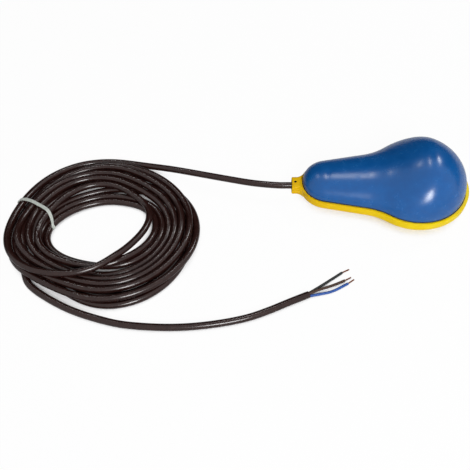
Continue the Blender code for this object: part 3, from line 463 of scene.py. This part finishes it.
# %% Plastic finishes
def plastic(name, colour, mark, mark_size, roughness, grain_size, grain, rub=0.0, stretch=(1, 1, 1),
            gate=None, **shader_sockets):
    """Moulded or extruded plastic. Sizes are in mm; stretch draws the marks out along an axis.

    Gate is the deeper colour at the end where the plastic entered the mould, at the float's neck.
    """
    made, tree, shader = new_material(name, **shader_sockets)
    place = add(tree, "ShaderNodeTexCoord").outputs["Object"]
    drawn = add(tree, "ShaderNodeMapping", {"Vector": place}, {"Scale": stretch}).outputs[0]
    flow = noise(tree, drawn, 1000 / mark_size, 4.0, 0.6)
    amount = spread(tree, flow, 0.35, 0.75)
    hue = add(tree, "ShaderNodeMix", {"Factor": amount}, {6: linear(colour), 7: linear(mark)},
              data_type="RGBA")
    if gate:
        along = add(tree, "ShaderNodeSeparateXYZ", {0: place}).outputs["X"]
        away = spread(tree, along, -0.09, 0.04, 0.75, 0.0)
        hue = add(tree, "ShaderNodeMix", {"Factor": away, 6: hue.outputs[2]}, {7: linear(gate)},
                  data_type="RGBA")
    hairs = add(tree, "ShaderNodeMapping", {"Vector": place},
                {"Scale": (0.06, 1.0, 1.0), "Rotation": (0.2, 0.3, 0.5)})
    rubbed = spread(tree, noise(tree, hairs.outputs[0], 2200.0, 2.0, 0.7), 0.66, 0.80, 0.0, rub)
    gloss = spread(tree, flow, 0.3, 0.7, roughness * 0.85, roughness * 1.15)
    gloss = add(tree, "ShaderNodeMath", {0: gloss, 1: rubbed}, operation="ADD").outputs[0]
    cover(tree, shader, hue, gloss, noise(tree, place, 1000 / grain_size, 3.0), grain)
    return made


# Blue polypropylene, injection moulded with a satin polish: faint paler flow marks, fine orange peel.
blue_finish = plastic("blue_polypropylene_injection_moulded", "#06559B", "#0B5DA4", 9.0, 0.25, 1.6, 0.3,
                      rub=0.06, IOR=1.47, Specular_IOR_Level=0.54)
# Yellow polypropylene from the same kind of mould, a little duller where it was trimmed.
yellow_finish = plastic("yellow_polypropylene_injection_moulded", "#F4D800", "#EECC00", 12.0, 0.36, 1.2, 0.35,
                        rub=0.12, gate="#EDB400", IOR=1.47, Specular_IOR_Level=0.2)
# Soft black rubber, compression moulded: matt and slightly bloomed.
rubber_finish = plastic("black_rubber_compression_moulded", "#090D16", "#12171F", 3.0, 0.62, 0.5, 0.6)
# Plasticised PVC, extruded: a brownish black with unbroken gleams, faintly clouded by its plasticiser.
sheath_finish = plastic("black_pvc_extruded_sheath", "#24100D", "#2F1915", 6.0, 0.20, 6.0, 0.02,
                        IOR=1.5, Specular_IOR_Level=0.40)
# Milky polythene strip for the tie, extruded and cold drawn.
tie_finish = plastic("natural_polythene_drawn_strip", "#CBD2C9", "#E2E6DF", 2.0, 0.38, 0.8, 0.4,
                     IOR=1.5, Transmission_Weight=0.15)
# Thin PVC insulation of the three cores, extruded over the copper.
core_finishes = {
    "brown": plastic("brown_pvc_core_insulation", "#351E0E", "#432815", 1.5, 0.38, 0.4, 0.4),
    "blue": plastic("blue_pvc_core_insulation", "#1E4C9A", "#2A5AA8", 1.5, 0.38, 0.4, 0.4),
    "black": plastic("black_pvc_core_insulation", "#0C1110", "#161C1A", 1.5, 0.38, 0.4, 0.4),
}
# Glass filled nylon inside the float: dull, with pale fibres near the surface.
grey_finish = plastic("grey_glass_filled_nylon_moulded", "#6E7173", "#84878A", 1.2, 0.52, 0.3, 0.8,
                      stretch=(0.3, 1, 1))
# Phenolic resin of the switch's case, pressed hot: dark and slightly dull.
switch_finish = plastic("black_phenolic_moulded", "#1A1B1E", "#26272B", 1.0, 0.46, 0.25, 0.7)
# Acetal of the plunger, moulded: smooth, because it slides.
red_finish = plastic("red_acetal_moulded", "#B02418", "#C03224", 1.5, 0.34, 0.5, 0.3)
print("materials so far:", len(bpy.data.materials))


# %% [markdown]
# ## Finishes of the metals
# Metals differ in how they were made. Zinc plate has a cloudy bloom, turned or ground steel has fine lines
# round its axis, and strip stock has lines drawn along it. One function mixes a bloom and a set of lines.


# %% Metal finishes
def metal(name, colour, bloom, bloom_size, roughness, line_size, lines, stretch=(1, 1, 0.03)):
    """A metal with a cloudy bloom and fine lines; sizes are in mm, and stretch gives the lines their way."""
    made, tree, shader = new_material(name, Metallic=1.0)
    place = add(tree, "ShaderNodeTexCoord").outputs["Object"]
    cloud = noise(tree, place, 1000 / bloom_size, 5.0, 0.65)
    amount = spread(tree, cloud, 0.35, 0.7)
    hue = add(tree, "ShaderNodeMix", {"Factor": amount}, {6: linear(colour), 7: linear(bloom)},
              data_type="RGBA")
    drawn = add(tree, "ShaderNodeMapping", {"Vector": place}, {"Scale": stretch}).outputs[0]
    gloss = spread(tree, cloud, 0.3, 0.7, roughness * 0.7, roughness * 1.3)
    cover(tree, shader, hue, gloss, noise(tree, drawn, 1000 / line_size, 3.0), lines)
    return made


# Copper drawn into fine strands and darkened by handling.
copper_finish = metal("bare_copper_drawn_strand", "#9C6044", "#6E402C", 1.0, 0.36, 0.15, 0.4)
# Rolled or turned steel under zinc plate, with its cloudy bloom.
zinc_finish = metal("zinc_plated_steel_rolled", "#B9BABC", "#9DA0A6", 1.5, 0.32, 0.20, 0.4)
# A bearing ball, ground and polished to a near mirror.
ball_finish = metal("bearing_steel_ground_and_polished", "#C4C6C9", "#B8BABE", 4.0, 0.10, 0.3, 0.1)
# Brass stamped from strip, with the strip's lines along it.
brass_finish = metal("brass_strip_stamped", "#C9A04E", "#AF8438", 1.5, 0.28, 0.15, 0.4, (1, 0.03, 1))
# Stainless strip rolled hard, for the sprung lever.
spring_finish = metal("stainless_spring_strip", "#BDBFC2", "#A9ABB0", 2.0, 0.24, 0.12, 0.4, (1, 0.03, 1))

finishes = {
    "rim_seal": rubber_finish, "gland_bush": rubber_finish, "gland_washer": grey_finish,
    "cable_clamp": zinc_finish, "switch_box": grey_finish, "switch_box_lid": grey_finish,
    "ball_track": grey_finish, "steel_ball": ball_finish, "switch_case": switch_finish,
    "switch_cover": switch_finish, "switch_lever": spring_finish, "lever_pin": zinc_finish,
    "switch_plunger": red_finish, "contact_blade": brass_finish, "terminal_common": brass_finish,
    "terminal_open": brass_finish, "terminal_closed": brass_finish, "wire_brown": core_finishes["brown"],
    "wire_blue": core_finishes["blue"], "wire_black": core_finishes["black"],
}
for name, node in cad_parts.items():
    finish = zinc_finish if "_screw_" in name else finishes.get(name)
    if finish:
        node.data.materials.clear()
        node.data.materials.append(finish)
print("finishes on the frame's own nodes:", len(finishes), "and the screws")

# %% [markdown]
# ## The cable, the cores and the copper
# A tube is a ring of points carried along a line without twisting, each ring joined to the one before.
# The sheath's cut end is hollow for a few millimetres, so that the three cores come out of it as they do
# when a cable is stripped. Each core ends in seven fine strands laid round each other.


# %% Tubes
def join_rings(bm, rings, round_again=False):
    """Adds rings of points to a mesh and joins each to the one before, and the last to the first if asked."""
    loops = [[bm.verts.new(p) for p in ring] for ring in rings]
    for a, b in zip(loops, loops[1:] + loops[:1] if round_again else loops[1:]):
        for i in range(len(a)):
            j = (i + 1) % len(a)
            bm.faces.new((a[i], a[j], b[j], b[i]))
    return loops


def tube(line, radius, sides, recess=0.0, wall=0.0, turns=0.0, offset=0.0, phase=0.0):
    """A closed tube along a line.

    A recess hollows its far end down to a wall. Turns winds it round the line at an offset, and phase is
    the share of a turn that it starts at.
    """
    line = np.array(line, float)
    along = np.gradient(line, axis=0)
    along /= np.linalg.norm(along, axis=1)[:, None]
    first = np.cross(along[0], (0.0, 0.0, 1.0))
    across = [first / np.linalg.norm(first)]
    for way in along[1:]:
        carried = across[-1] - way * (across[-1] @ way)
        across.append(carried / np.linalg.norm(carried))
    across = np.array(across)
    other = np.cross(along, across)
    if offset:
        wound = np.linspace(0.0, 2 * pi * turns, len(line)) + 2 * pi * phase
        line = line + offset * (np.cos(wound)[:, None] * across + np.sin(wound)[:, None] * other)
    around = np.linspace(0.0, 2 * pi, sides, endpoint=False)
    ring = (np.cos(around)[None, :, None] * across[:, None, :]
            + np.sin(around)[None, :, None] * other[:, None, :])
    rings = list(line[:, None, :] + ring * radius)
    if recess:
        rings[-1] = rings[-1] + (line[-1] - rings[-1]) * 0.06
        rings.append(line[-1] + ring[-1] * (radius - wall))
        rings.append(line[-1] + ring[-1] * (radius - wall) - along[-1] * recess)
    bm = bmesh.new()
    loops = join_rings(bm, rings)
    bm.faces.new(loops[0][::-1])
    bm.faces.new(loops[-1])
    bmesh.ops.recalc_face_normals(bm, faces=bm.faces)
    return bm


def to_mesh(bm, name, sharp=40.0):
    """A smooth shaded mesh whose edges stay sharp past an angle in degrees."""
    mesh = bpy.data.meshes.new(name)
    bm.to_mesh(mesh)
    bm.free()
    mesh.shade_smooth()
    mesh.set_sharp_from_angle(angle=radians(sharp))
    return mesh


# Rings every two millimetres keep the gleam on the bends unbroken.
sheath = tube(smooth_line(route, 2.1 * MM), cable_radius, 24, recess=4.0 * MM, wall=0.55 * MM)
cable = new_piece("cable", to_mesh(sheath, "cable"), sheath_finish,
                  ("cable_lead", "cable_coil", "cable_tail"))

sheath_end = Vector(route[-1])
tail_way = Vector(route[-1] - route[-3]).normalized()
across = tail_way.cross(Vector((0, 0, 1))).normalized() * -1
core_radius = 1.3 * MM
core_pitch_radius = 1.5 * MM
strand_radius = 0.24 * MM
strand_pitch_radius = 0.49 * MM
# Each core's bearing in the sheath, the points that it passes, and the tip of its copper.
core_routes = {
    "black": (330, ((-67.7, -115.2, 2.3), (-56.7, -106.9, 1.6), (-43.6, -97.2, 1.5)), (-36.6, -93.4, 1.4)),
    "brown": (90, ((-66.0, -118.0, 3.9), (-53.7, -112.2, 2.0), (-41.5, -106.1, 1.5)), (-35.5, -102.6, 1.4)),
    "blue": (210, ((-65.8, -121.9, 1.9), (-53.7, -118.1, 1.4), (-38.9, -109.5, 1.4)), (-32.8, -104.9, 1.4)),
}
on_the_cable = ["tie_strip"]
for colour, (bearing, points, tip) in core_routes.items():
    out = across * cos(radians(bearing)) + across.cross(tail_way) * -sin(radians(bearing))
    start = sheath_end + out * core_pitch_radius
    line = smooth_line([start - tail_way * 3.9 * MM, start - tail_way * 1.0 * MM]
                       + [Vector(p) * MM for p in points], 1.2 * MM)
    line[:, 2] = np.maximum(line[:, 2], core_radius + 0.05 * MM)
    insulation = tube(line, core_radius, 16, recess=0.4 * MM, wall=0.45 * MM)
    core = new_piece(f"{colour}_core", to_mesh(insulation, f"core_{colour}"), core_finishes[colour],
                     (f"core_{colour}",))
    bare = smooth_line([line[-3], line[-1], Vector(tip) * MM], 0.5 * MM)[4:]
    bm = bmesh.new()
    # Six strands are laid round a straight one.
    for strand in range(7):
        laid = strand < 6
        wire = tube(bare, strand_radius, 8, turns=0.9 * laid, offset=strand_pitch_radius * laid,
                    phase=strand / 6)
        piece = bpy.data.meshes.new("strand")
        wire.to_mesh(piece)
        wire.free()
        bm.from_mesh(piece)
        bpy.data.meshes.remove(piece)
    copper = new_piece(f"{colour}_strands", to_mesh(bm, f"copper_{colour}"), copper_finish,
                       (f"copper_{colour}",))
    on_the_cable += [core.name, copper.name]
print("cores end at", [round(v, 4) for v in line[-1]])


# %% [markdown]
# ## The tie
# The tie is a narrow strip pulled tight round all the turns. Its path is the outline that a string would
# take round them: where each turn crosses the tie's plane there is a disc, and the strip follows the
# convex hull of the discs.


# %% Tie
def hull(points):
    """Corners of the convex hull of flat points, anticlockwise."""
    points = sorted(map(tuple, points))
    halves = []
    for ordered in (points, points[::-1]):
        half = []
        for p in ordered:
            while len(half) > 1 and ((half[-1][0] - half[-2][0]) * (p[1] - half[-2][1])
                                     <= (half[-1][1] - half[-2][1]) * (p[0] - half[-2][0])):
                half.pop()
            half.append(p)
        halves += half[:-1]
    return np.array(halves)


tie_along = (tie_inner - tie_outer) / np.linalg.norm(tie_inner - tie_outer)
tie_across = np.array([-tie_along[1], tie_along[0]])
offset = route[:, :2] - tie_outer
reach = offset @ tie_along
# The strip is soft, so it lies square across each turn, and that bows it sideways.


def bowed(u):
    """How far the strip is bowed sideways, u along its line."""
    return tie_bow * (1 - np.clip(np.abs(2 * u / np.linalg.norm(tie_inner - tie_outer) - 1), 0, 1) ** 4)


depth = offset @ tie_across - bowed(reach)
discs = []
for i in np.nonzero(depth[:-1] * depth[1:] <= 0)[0]:
    t = depth[i] / (depth[i] - depth[i + 1])
    u = reach[i] + (reach[i + 1] - reach[i]) * t
    if tie_from < u < tie_to:
        way = route[i + 1] - route[i]
        slant = abs(way[:2] @ tie_across) / np.linalg.norm(way)
        discs.append((u, route[i, 2] + (route[i + 1, 2] - route[i, 2]) * t, slant))
spots = []
room = cable_radius + 0.1 * MM + tie_thickness / 2
for u, z, slant in discs:
    for a in np.linspace(0, 2 * pi, 48, endpoint=False):
        spots.append((u + room / max(slant, 0.6) * cos(a), z + room * sin(a)))
corners = hull(spots)
closed = np.vstack([corners, corners[:1]])
walked = np.concatenate([[0.0], np.cumsum(np.linalg.norm(np.diff(closed, axis=0), axis=1))])
at = np.linspace(0.0, walked[-1], 121)[:-1]
path = np.column_stack([np.interp(at, walked, closed[:, i]) for i in (0, 1)])
for step in range(3):
    path = (np.roll(path, 1, 0) + 2 * path + np.roll(path, -1, 0)) / 4
path[:, 1] = np.maximum(path[:, 1], tie_thickness / 2 + 0.05 * MM)
outward = np.roll(path, -1, 0) - np.roll(path, 1, 0)
outward = np.column_stack([outward[:, 1], -outward[:, 0]]) / np.linalg.norm(outward, axis=1)[:, None]
half_w, half_t, soft = tie_width / 2, tie_thickness / 2, 0.25 * MM
section = [(-half_w, -half_t + soft), (-half_w, half_t - soft), (-half_w + soft, half_t),
           (half_w - soft, half_t), (half_w, half_t - soft), (half_w, -half_t + soft),
           (half_w - soft, -half_t), (-half_w + soft, -half_t)]
strip = []
for side_way, thick in section:
    flat = path + outward * thick
    sideways = (side_way + bowed(path[:, :1])) * tie_across
    strip.append(np.column_stack([tie_outer + flat[:, :1] * tie_along + sideways, flat[:, 1]]))
bm = bmesh.new()
join_rings(bm, strip, round_again=True)
bmesh.ops.recalc_face_normals(bm, faces=bm.faces)
new_piece("tie_strip", to_mesh(bm, "coil_tie"), tie_finish, ("coil_tie",))
print("the tie holds", len(discs), "crossings")

# %% [markdown]
# ## The float
# Both halves share one outline: a cap round the neck, a straight side, a hollow waist and the round bulb.
# The surface is a stack of closed loops. Each loop is the outline drawn in towards a spine that runs from
# the middle of the neck to the middle of the bulb, and raised to the dome's height there. At the spine the
# two sides meet in a crest. The rim's small rounding and the inside are more loops of the same stack, so a
# half is one closed skin with no seam anywhere.

# %% Sizes of the float
bulb_radius = 51.0 * MM
neck_radius = 25.6 * MM
waist_radius = 60.0 * MM
neck_spread = 0.822             # the neck's sides, carried on to the bulb's middle, over its radius
body_length = 165.0 * MM
ledge = 1.9 * MM                # how far the yellow half stands out past the blue one
end_ledge = 2.5 * MM            # how much more at the bulb's end
collar_length = 9.1 * MM
collar_width = 15.5 * MM
collar_height = 11.5 * MM
collar_edge = 2.6 * MM
collar_flare = 4.2 * MM
mouth_round = 1.0 * MM
bush_wall = 0.8 * MM
clearance = 0.3 * MM
rim_z = 22.312 * MM
skirt_height = 1.0 * MM
upper_wall = 2.4 * MM
lower_wall = 3.0 * MM
yellow_rim_z = 21.012 * MM
band_height = 7.0 * MM
belly_fullness = 0.28
boss_radius = 3.5 * MM
pilot_radius = 1.7 * MM
clamp_half_pitch = 9.0 * MM
pocket_depth = 8.8 * MM
bore_depth = 30.0 * MM
bore_chamfer = 0.4 * MM
pin_radius = 1.3 * MM
pin_depth = 7.0 * MM
bulb_steps = 64
mouth_x, cable_z = collar_mouth.x, collar_mouth.z
neck_x = mouth_x + collar_length + ledge
neck_centre_x = neck_x + neck_radius
bulb_centre_x = neck_x + body_length - bulb_radius
neck_taper = asin((neck_spread * bulb_radius - neck_radius) / (bulb_centre_x - neck_centre_x))
pin_x = mouth_x + 0.4 * collar_length
print("blue half:", round(body_length / MM), "mm long and", round(2 * bulb_radius / MM), "mm wide")


# %% Outline and height
def arc(middle, radius, start, end, count):
    """Points on an arc, both ends included."""
    turn = np.linspace(start, end, count + 1)
    return np.column_stack([middle[0] + radius * np.cos(turn), middle[1] + radius * np.sin(turn)])


def pear_side(grow):
    """One side of the outline, from the neck's end to the bulb's, and where each point's spoke starts."""
    along = np.array([cos(neck_taper), sin(neck_taper)])
    across = np.array([-sin(neck_taper), cos(neck_taper)])
    start = np.array([neck_centre_x, 0.0]) + neck_radius * across
    offset = start + waist_radius * across - np.array([bulb_centre_x, 0.0])
    half_b = offset @ along
    straight = -half_b - sqrt(half_b ** 2 - offset @ offset + (bulb_radius + waist_radius) ** 2)
    hollow = start + waist_radius * across + straight * along
    side_angle = atan2(across[1], across[0])
    meet = atan2(hollow[1], hollow[0] - bulb_centre_x)
    cap = arc((neck_centre_x, 0.0), neck_radius + grow, pi, side_angle, 26)
    waist = arc(hollow, waist_radius - grow, side_angle - pi, meet - pi, 26)
    bulb = arc((bulb_centre_x, 0.0), bulb_radius + grow, meet, 0.0, bulb_steps)
    t = np.linspace(0.0, 1.0, 32)[1:-1, None]
    points = np.vstack([cap, cap[-1] + (waist[0] - cap[-1]) * t, waist, bulb[1:]])
    stretch = 1.0 + end_ledge * max(grow, 0.0) / ledge / (bulb_radius + grow)
    past = points[:, 0] > bulb_centre_x
    points[past, 0] = bulb_centre_x + (points[past, 0] - bulb_centre_x) * stretch
    points[[0, -1], 1] = 0.0
    share = np.clip((points[:, 0] - cap[-1, 0]) / (bulb[0, 0] - cap[-1, 0]), 0.0, 1.0)
    share[-bulb_steps:] = 1.0
    return points, neck_centre_x + (bulb_centre_x - neck_centre_x) * share, len(cap)


def flat_loop(grow, height):
    """The whole outline at one height."""
    side = pear_side(grow)[0]
    whole = np.vstack([side, (side * (1, -1))[-2:0:-1]])
    return np.column_stack([whole, np.full(len(whole), height)])


def dome_fullness(x):
    """The dome swells smoothly from the flat neck to the full bulb."""
    share = np.clip((x - neck_x - 84.0 * MM) / (47.0 * MM), 0.0, 1.0)
    return 0.60 + 0.26 * share * share * (3 - 2 * share)


def domed_loops(grow, wall, base, way, fullness, count):
    """Loops from the outline in to the crest, on the skin or a wall's thickness inside it."""
    side, spine, cap = pear_side(grow - wall)
    loops = []
    for turn in np.linspace(0.0, pi / 2, count + 1):
        x = spine + (side[:, 0] - spine) * cos(turn)
        y = side[:, 1] * cos(turn)
        wide = np.interp(x, side[:, 0], side[:, 1])
        high = np.sqrt(np.maximum(wide ** 2 - y ** 2, 0.0))
        high[:cap] = (neck_radius + grow - wall) * sin(turn)
        high[-bulb_steps:] = (bulb_radius + grow - wall) * sin(turn)
        full = fullness(x)
        z = base + way * (high * full - wall * (1 - full))
        whole = np.column_stack([x, y, z])
        loops.append(np.vstack([whole, (whole * (1, -1, 1))[-2:0:-1]]))
    return loops


def loft(loops):
    """One closed skin through a stack of closed loops, welded where a loop has shrunk to a crest."""
    bm = bmesh.new()
    join_rings(bm, loops)
    bmesh.ops.remove_doubles(bm, verts=bm.verts, dist=0.01 * MM)
    bmesh.ops.recalc_face_normals(bm, faces=bm.faces)
    return bm


def rounded(grow_out, grow_in, height, outer_edge, inner_edge, way):
    """Loops over a rim: a rounded outer edge, the flat, and a rounded inner edge."""
    turns = (0.0, pi / 8, pi / 4, 3 * pi / 8, pi / 2)
    loops = [flat_loop(grow_out - outer_edge * (1 - cos(a)), height - way * outer_edge * (1 - sin(a)))
             for a in turns]
    return loops + [flat_loop(grow_in + inner_edge * (1 - cos(a)), height - way * inner_edge * (1 - sin(a)))
                    for a in turns[::-1]]


# %% Blue half
base = rim_z + skirt_height
skin = domed_loops(0.0, 0.0, base, 1, dome_fullness, 30)[::-1]
skin += rounded(0.0, -upper_wall, rim_z, 0.35 * MM, 0.3 * MM, -1)
skin += domed_loops(0.0, upper_wall, base, 1, dome_fullness, 14)
upper = new_piece("blue_half", to_mesh(loft(skin), "upper_shell"), blue_finish, ("upper_shell",))
print("blue half:", len(upper.data.polygons), "faces")

# %% [markdown]
# The seal is a thin ring between the halves. The screws squeeze it a little past the blue outline, where it
# shows as a dark line.

# %% Seal
low, high, inside = yellow_rim_z + 0.1 * MM, rim_z - 0.1 * MM, -1.1 * MM
bulge = [flat_loop(0.35 * MM * sin(a), low + (high - low) * (1 - cos(a)) / 2)
         for a in np.linspace(0, pi, 7)]
ring = bulge + [flat_loop(inside, high), flat_loop(inside, low), bulge[0]]
new_piece("seal_ring", to_mesh(loft(ring), "rim_seal"), rubber_finish, ("rim_seal",))
print("seal:", round((high - low) / MM, 2), "mm thick")

# %% [markdown]
# ## The yellow half and its collar
# The collar is a rounded block drawn out along the cable, with a softened mouth, and it flares where it
# meets the band. It is joined to the shell, and then the cable's bore, the bush's pocket and the pin hole
# are cut through both.

# %% Yellow half
def belly(x):
    """The belly is equally flat all along."""
    return np.full(len(x), belly_fullness)


bottom_z = yellow_rim_z - band_height
skin = domed_loops(ledge, 0.0, bottom_z, -1, belly, 26)[::-1]
skin += rounded(ledge, ledge - lower_wall, yellow_rim_z, 1.0 * MM, 0.4 * MM, 1)
skin += domed_loops(ledge, lower_wall, bottom_z, -1, belly, 14)
for loop in skin:
    loop[:, 2] = np.maximum(loop[:, 2], 0.0)
lower_mesh = to_mesh(loft(skin), "lower_shell")


def rounded_block(width, height, edge, steps):
    """A rounded rectangle in the YZ plane, round the cable's axis."""
    corners = []
    for y, z, start in ((1, 1, 0.0), (-1, 1, 90.0), (-1, -1, 180.0), (1, -1, 270.0)):
        for i in range(steps + 1):
            a = radians(start + 90.0 * i / steps)
            corners.append((y * (width / 2 - edge) + edge * cos(a), z * (height / 2 - edge) + edge * sin(a)))
    return corners


def capped(rings):
    """A solid through rings of points, with both end rings filled."""
    bm = bmesh.new()
    loops = join_rings(bm, rings)
    bm.faces.new(loops[0])
    bm.faces.new(loops[-1])
    bmesh.ops.recalc_face_normals(bm, faces=bm.faces)
    return bm


def drawn_solid(sections):
    """A solid through sections along X. Each section is its x and its (y, z) corners."""
    return capped([[(x, y, z) for y, z in corners] for x, corners in sections])


def cut(mesh, solids, operation):
    """Joins solids to a mesh, or cuts them out, and returns the new mesh."""
    bm = bmesh.new()
    for solid in solids:
        piece = bpy.data.meshes.new("solid")
        solid.to_mesh(piece)
        solid.free()
        bm.from_mesh(piece)
        bpy.data.meshes.remove(piece)
    tool = bpy.data.objects.new("tool", bpy.data.meshes.new("tool"))
    bm.to_mesh(tool.data)
    bm.free()
    body = bpy.data.objects.new("body", mesh)
    for made in (tool, body):
        bpy.context.scene.collection.objects.link(made)
    step = body.modifiers.new("step", "BOOLEAN")
    step.operation = operation
    step.object = tool
    step.solver = "EXACT"
    step.use_self = True
    bpy.context.view_layer.update()
    done = bpy.data.meshes.new_from_object(body.evaluated_get(bpy.context.evaluated_depsgraph_get()))
    bpy.data.objects.remove(body, do_unlink=True)
    bpy.data.objects.remove(tool, do_unlink=True)
    done.name = mesh.name
    return done


def turned(middle, axis, profile, sides):
    """A solid turned round an axis, X or Z. Its profile is radius by distance along the axis."""
    rings = []
    for radius, distance in profile:
        ring = []
        for i in range(sides):
            a = 2 * pi * i / sides
            across = Vector((0, cos(a), sin(a))) if axis == "X" else Vector((cos(a), sin(a), 0))
            along = Vector((distance, 0, 0)) if axis == "X" else Vector((0, 0, distance))
            ring.append(Vector(middle) + across * radius + along)
        rings.append(ring)
    return capped(rings)


# %% Collar, bosses and cuts
sections = []
for a in (0.0, pi / 8, pi / 4, 3 * pi / 8, pi / 2):
    less = 2 * mouth_round * (1 - sin(a))
    sections.append((mouth_x + mouth_round * (1 - cos(a)), collar_width - less, collar_height - less))
for t in np.linspace(0.0, 1.0, 7):
    x = mouth_x + collar_length * 0.55 + t * (collar_length * 0.45 + ledge + upper_wall * 0.4)
    sections.append((x, collar_width + 2 * collar_flare * t ** 2, collar_height))
collar = drawn_solid([(x, [(y, z + cable_z) for y, z in rounded_block(w, h, collar_edge, 8)])
                      for x, w, h in sections])

belly_floor = bottom_z - belly_fullness * (neck_radius + ledge) + 1.5 * MM
clamp_x = mouth_x + 24.0 * MM
fittings = [collar]
cuts = []
for y in (-clamp_half_pitch, clamp_half_pitch):
    boss = [(boss_radius, belly_floor + 0.6 * MM), (boss_radius, cable_z - clearance)]
    fittings.append(turned((clamp_x, y, 0), "Z", boss, 32))
    pilot = [(pilot_radius, cable_z - 5.6 * MM), (pilot_radius, cable_z)]
    cuts.append(turned((clamp_x, y, 0), "Z", pilot, 24))
rib_top = cable_z - cable_radius / 2
rib = [(clamp_half_pitch, rib_top), (-clamp_half_pitch, rib_top),
       (-clamp_half_pitch, belly_floor), (clamp_half_pitch, belly_floor)]
fittings.append(drawn_solid([(clamp_x + d, rib) for d in (-3 * MM, 3 * MM)]))
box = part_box("switch_box")
box_floor = box[0][2]
for x in (box[0][0] + 4.0 * MM, box[1][0] - 4.0 * MM):
    boss = [(boss_radius, 1.5 * MM), (boss_radius, box_floor - clearance)]
    fittings.append(turned((x, 0, 0), "Z", boss, 32))
    cuts.append(turned((x, 0, 0), "Z", [(pilot_radius, box_floor - 3.5 * MM), (pilot_radius, box_floor)], 24))
bore = cable_radius + clearance
pocket = cable_radius + 2 * clearance + bush_wall
stepped_bore = [(pocket + bore_chamfer, -0.5 * MM), (pocket + bore_chamfer, 0.0), (pocket, bore_chamfer),
                (pocket, pocket_depth), (bore, pocket_depth), (bore, bore_depth)]
cuts.append(turned((mouth_x, 0, cable_z), "X", stepped_bore, 48))
cuts.append(turned((pin_x, 0, cable_z), "Z", [(pin_radius, 0.0), (pin_radius, pin_depth)], 24))
# A plug over the rim cuts off all that stands above it.
plug = bmesh.new()
face = plug.faces.new([plug.verts.new(p) for p in flat_loop(ledge + clearance, yellow_rim_z + 0.02 * MM)])
top = bmesh.ops.extrude_face_region(plug, geom=[face])["geom"]
bmesh.ops.translate(plug, vec=(0, 0, 12 * MM), verts=[g for g in top if isinstance(g, bmesh.types.BMVert)])
bmesh.ops.recalc_face_normals(plug, faces=plug.faces)
cuts.append(plug)
lower_mesh = cut(lower_mesh, fittings, "UNION")
lower_mesh = cut(lower_mesh, cuts, "DIFFERENCE")
lower_mesh.shade_smooth()
lower_mesh.set_sharp_from_angle(angle=radians(35))
lower_mesh.materials.clear()
lower = new_piece("yellow_half", lower_mesh, yellow_finish, ("lower_shell",))
# The wall of the small pin hole has a dark, dull finish, darker than the yellow round it.
lower_mesh.materials.append(plastic("dark_dull_finish_in_the_pin_hole", "#1C1508", "#2C2210", 0.8, 0.6, 0.3, 0.8))
for face in lower_mesh.polygons:
    from_pin = face.center - Vector((pin_x, 0.0, face.center.z))
    upright = abs(face.normal.z) < 0.3
    if from_pin.length < pin_radius + 0.15 * MM and face.center.z > cable_z + bore and upright:
        face.material_index = 1
print("yellow half:", len(lower.data.polygons), "faces")
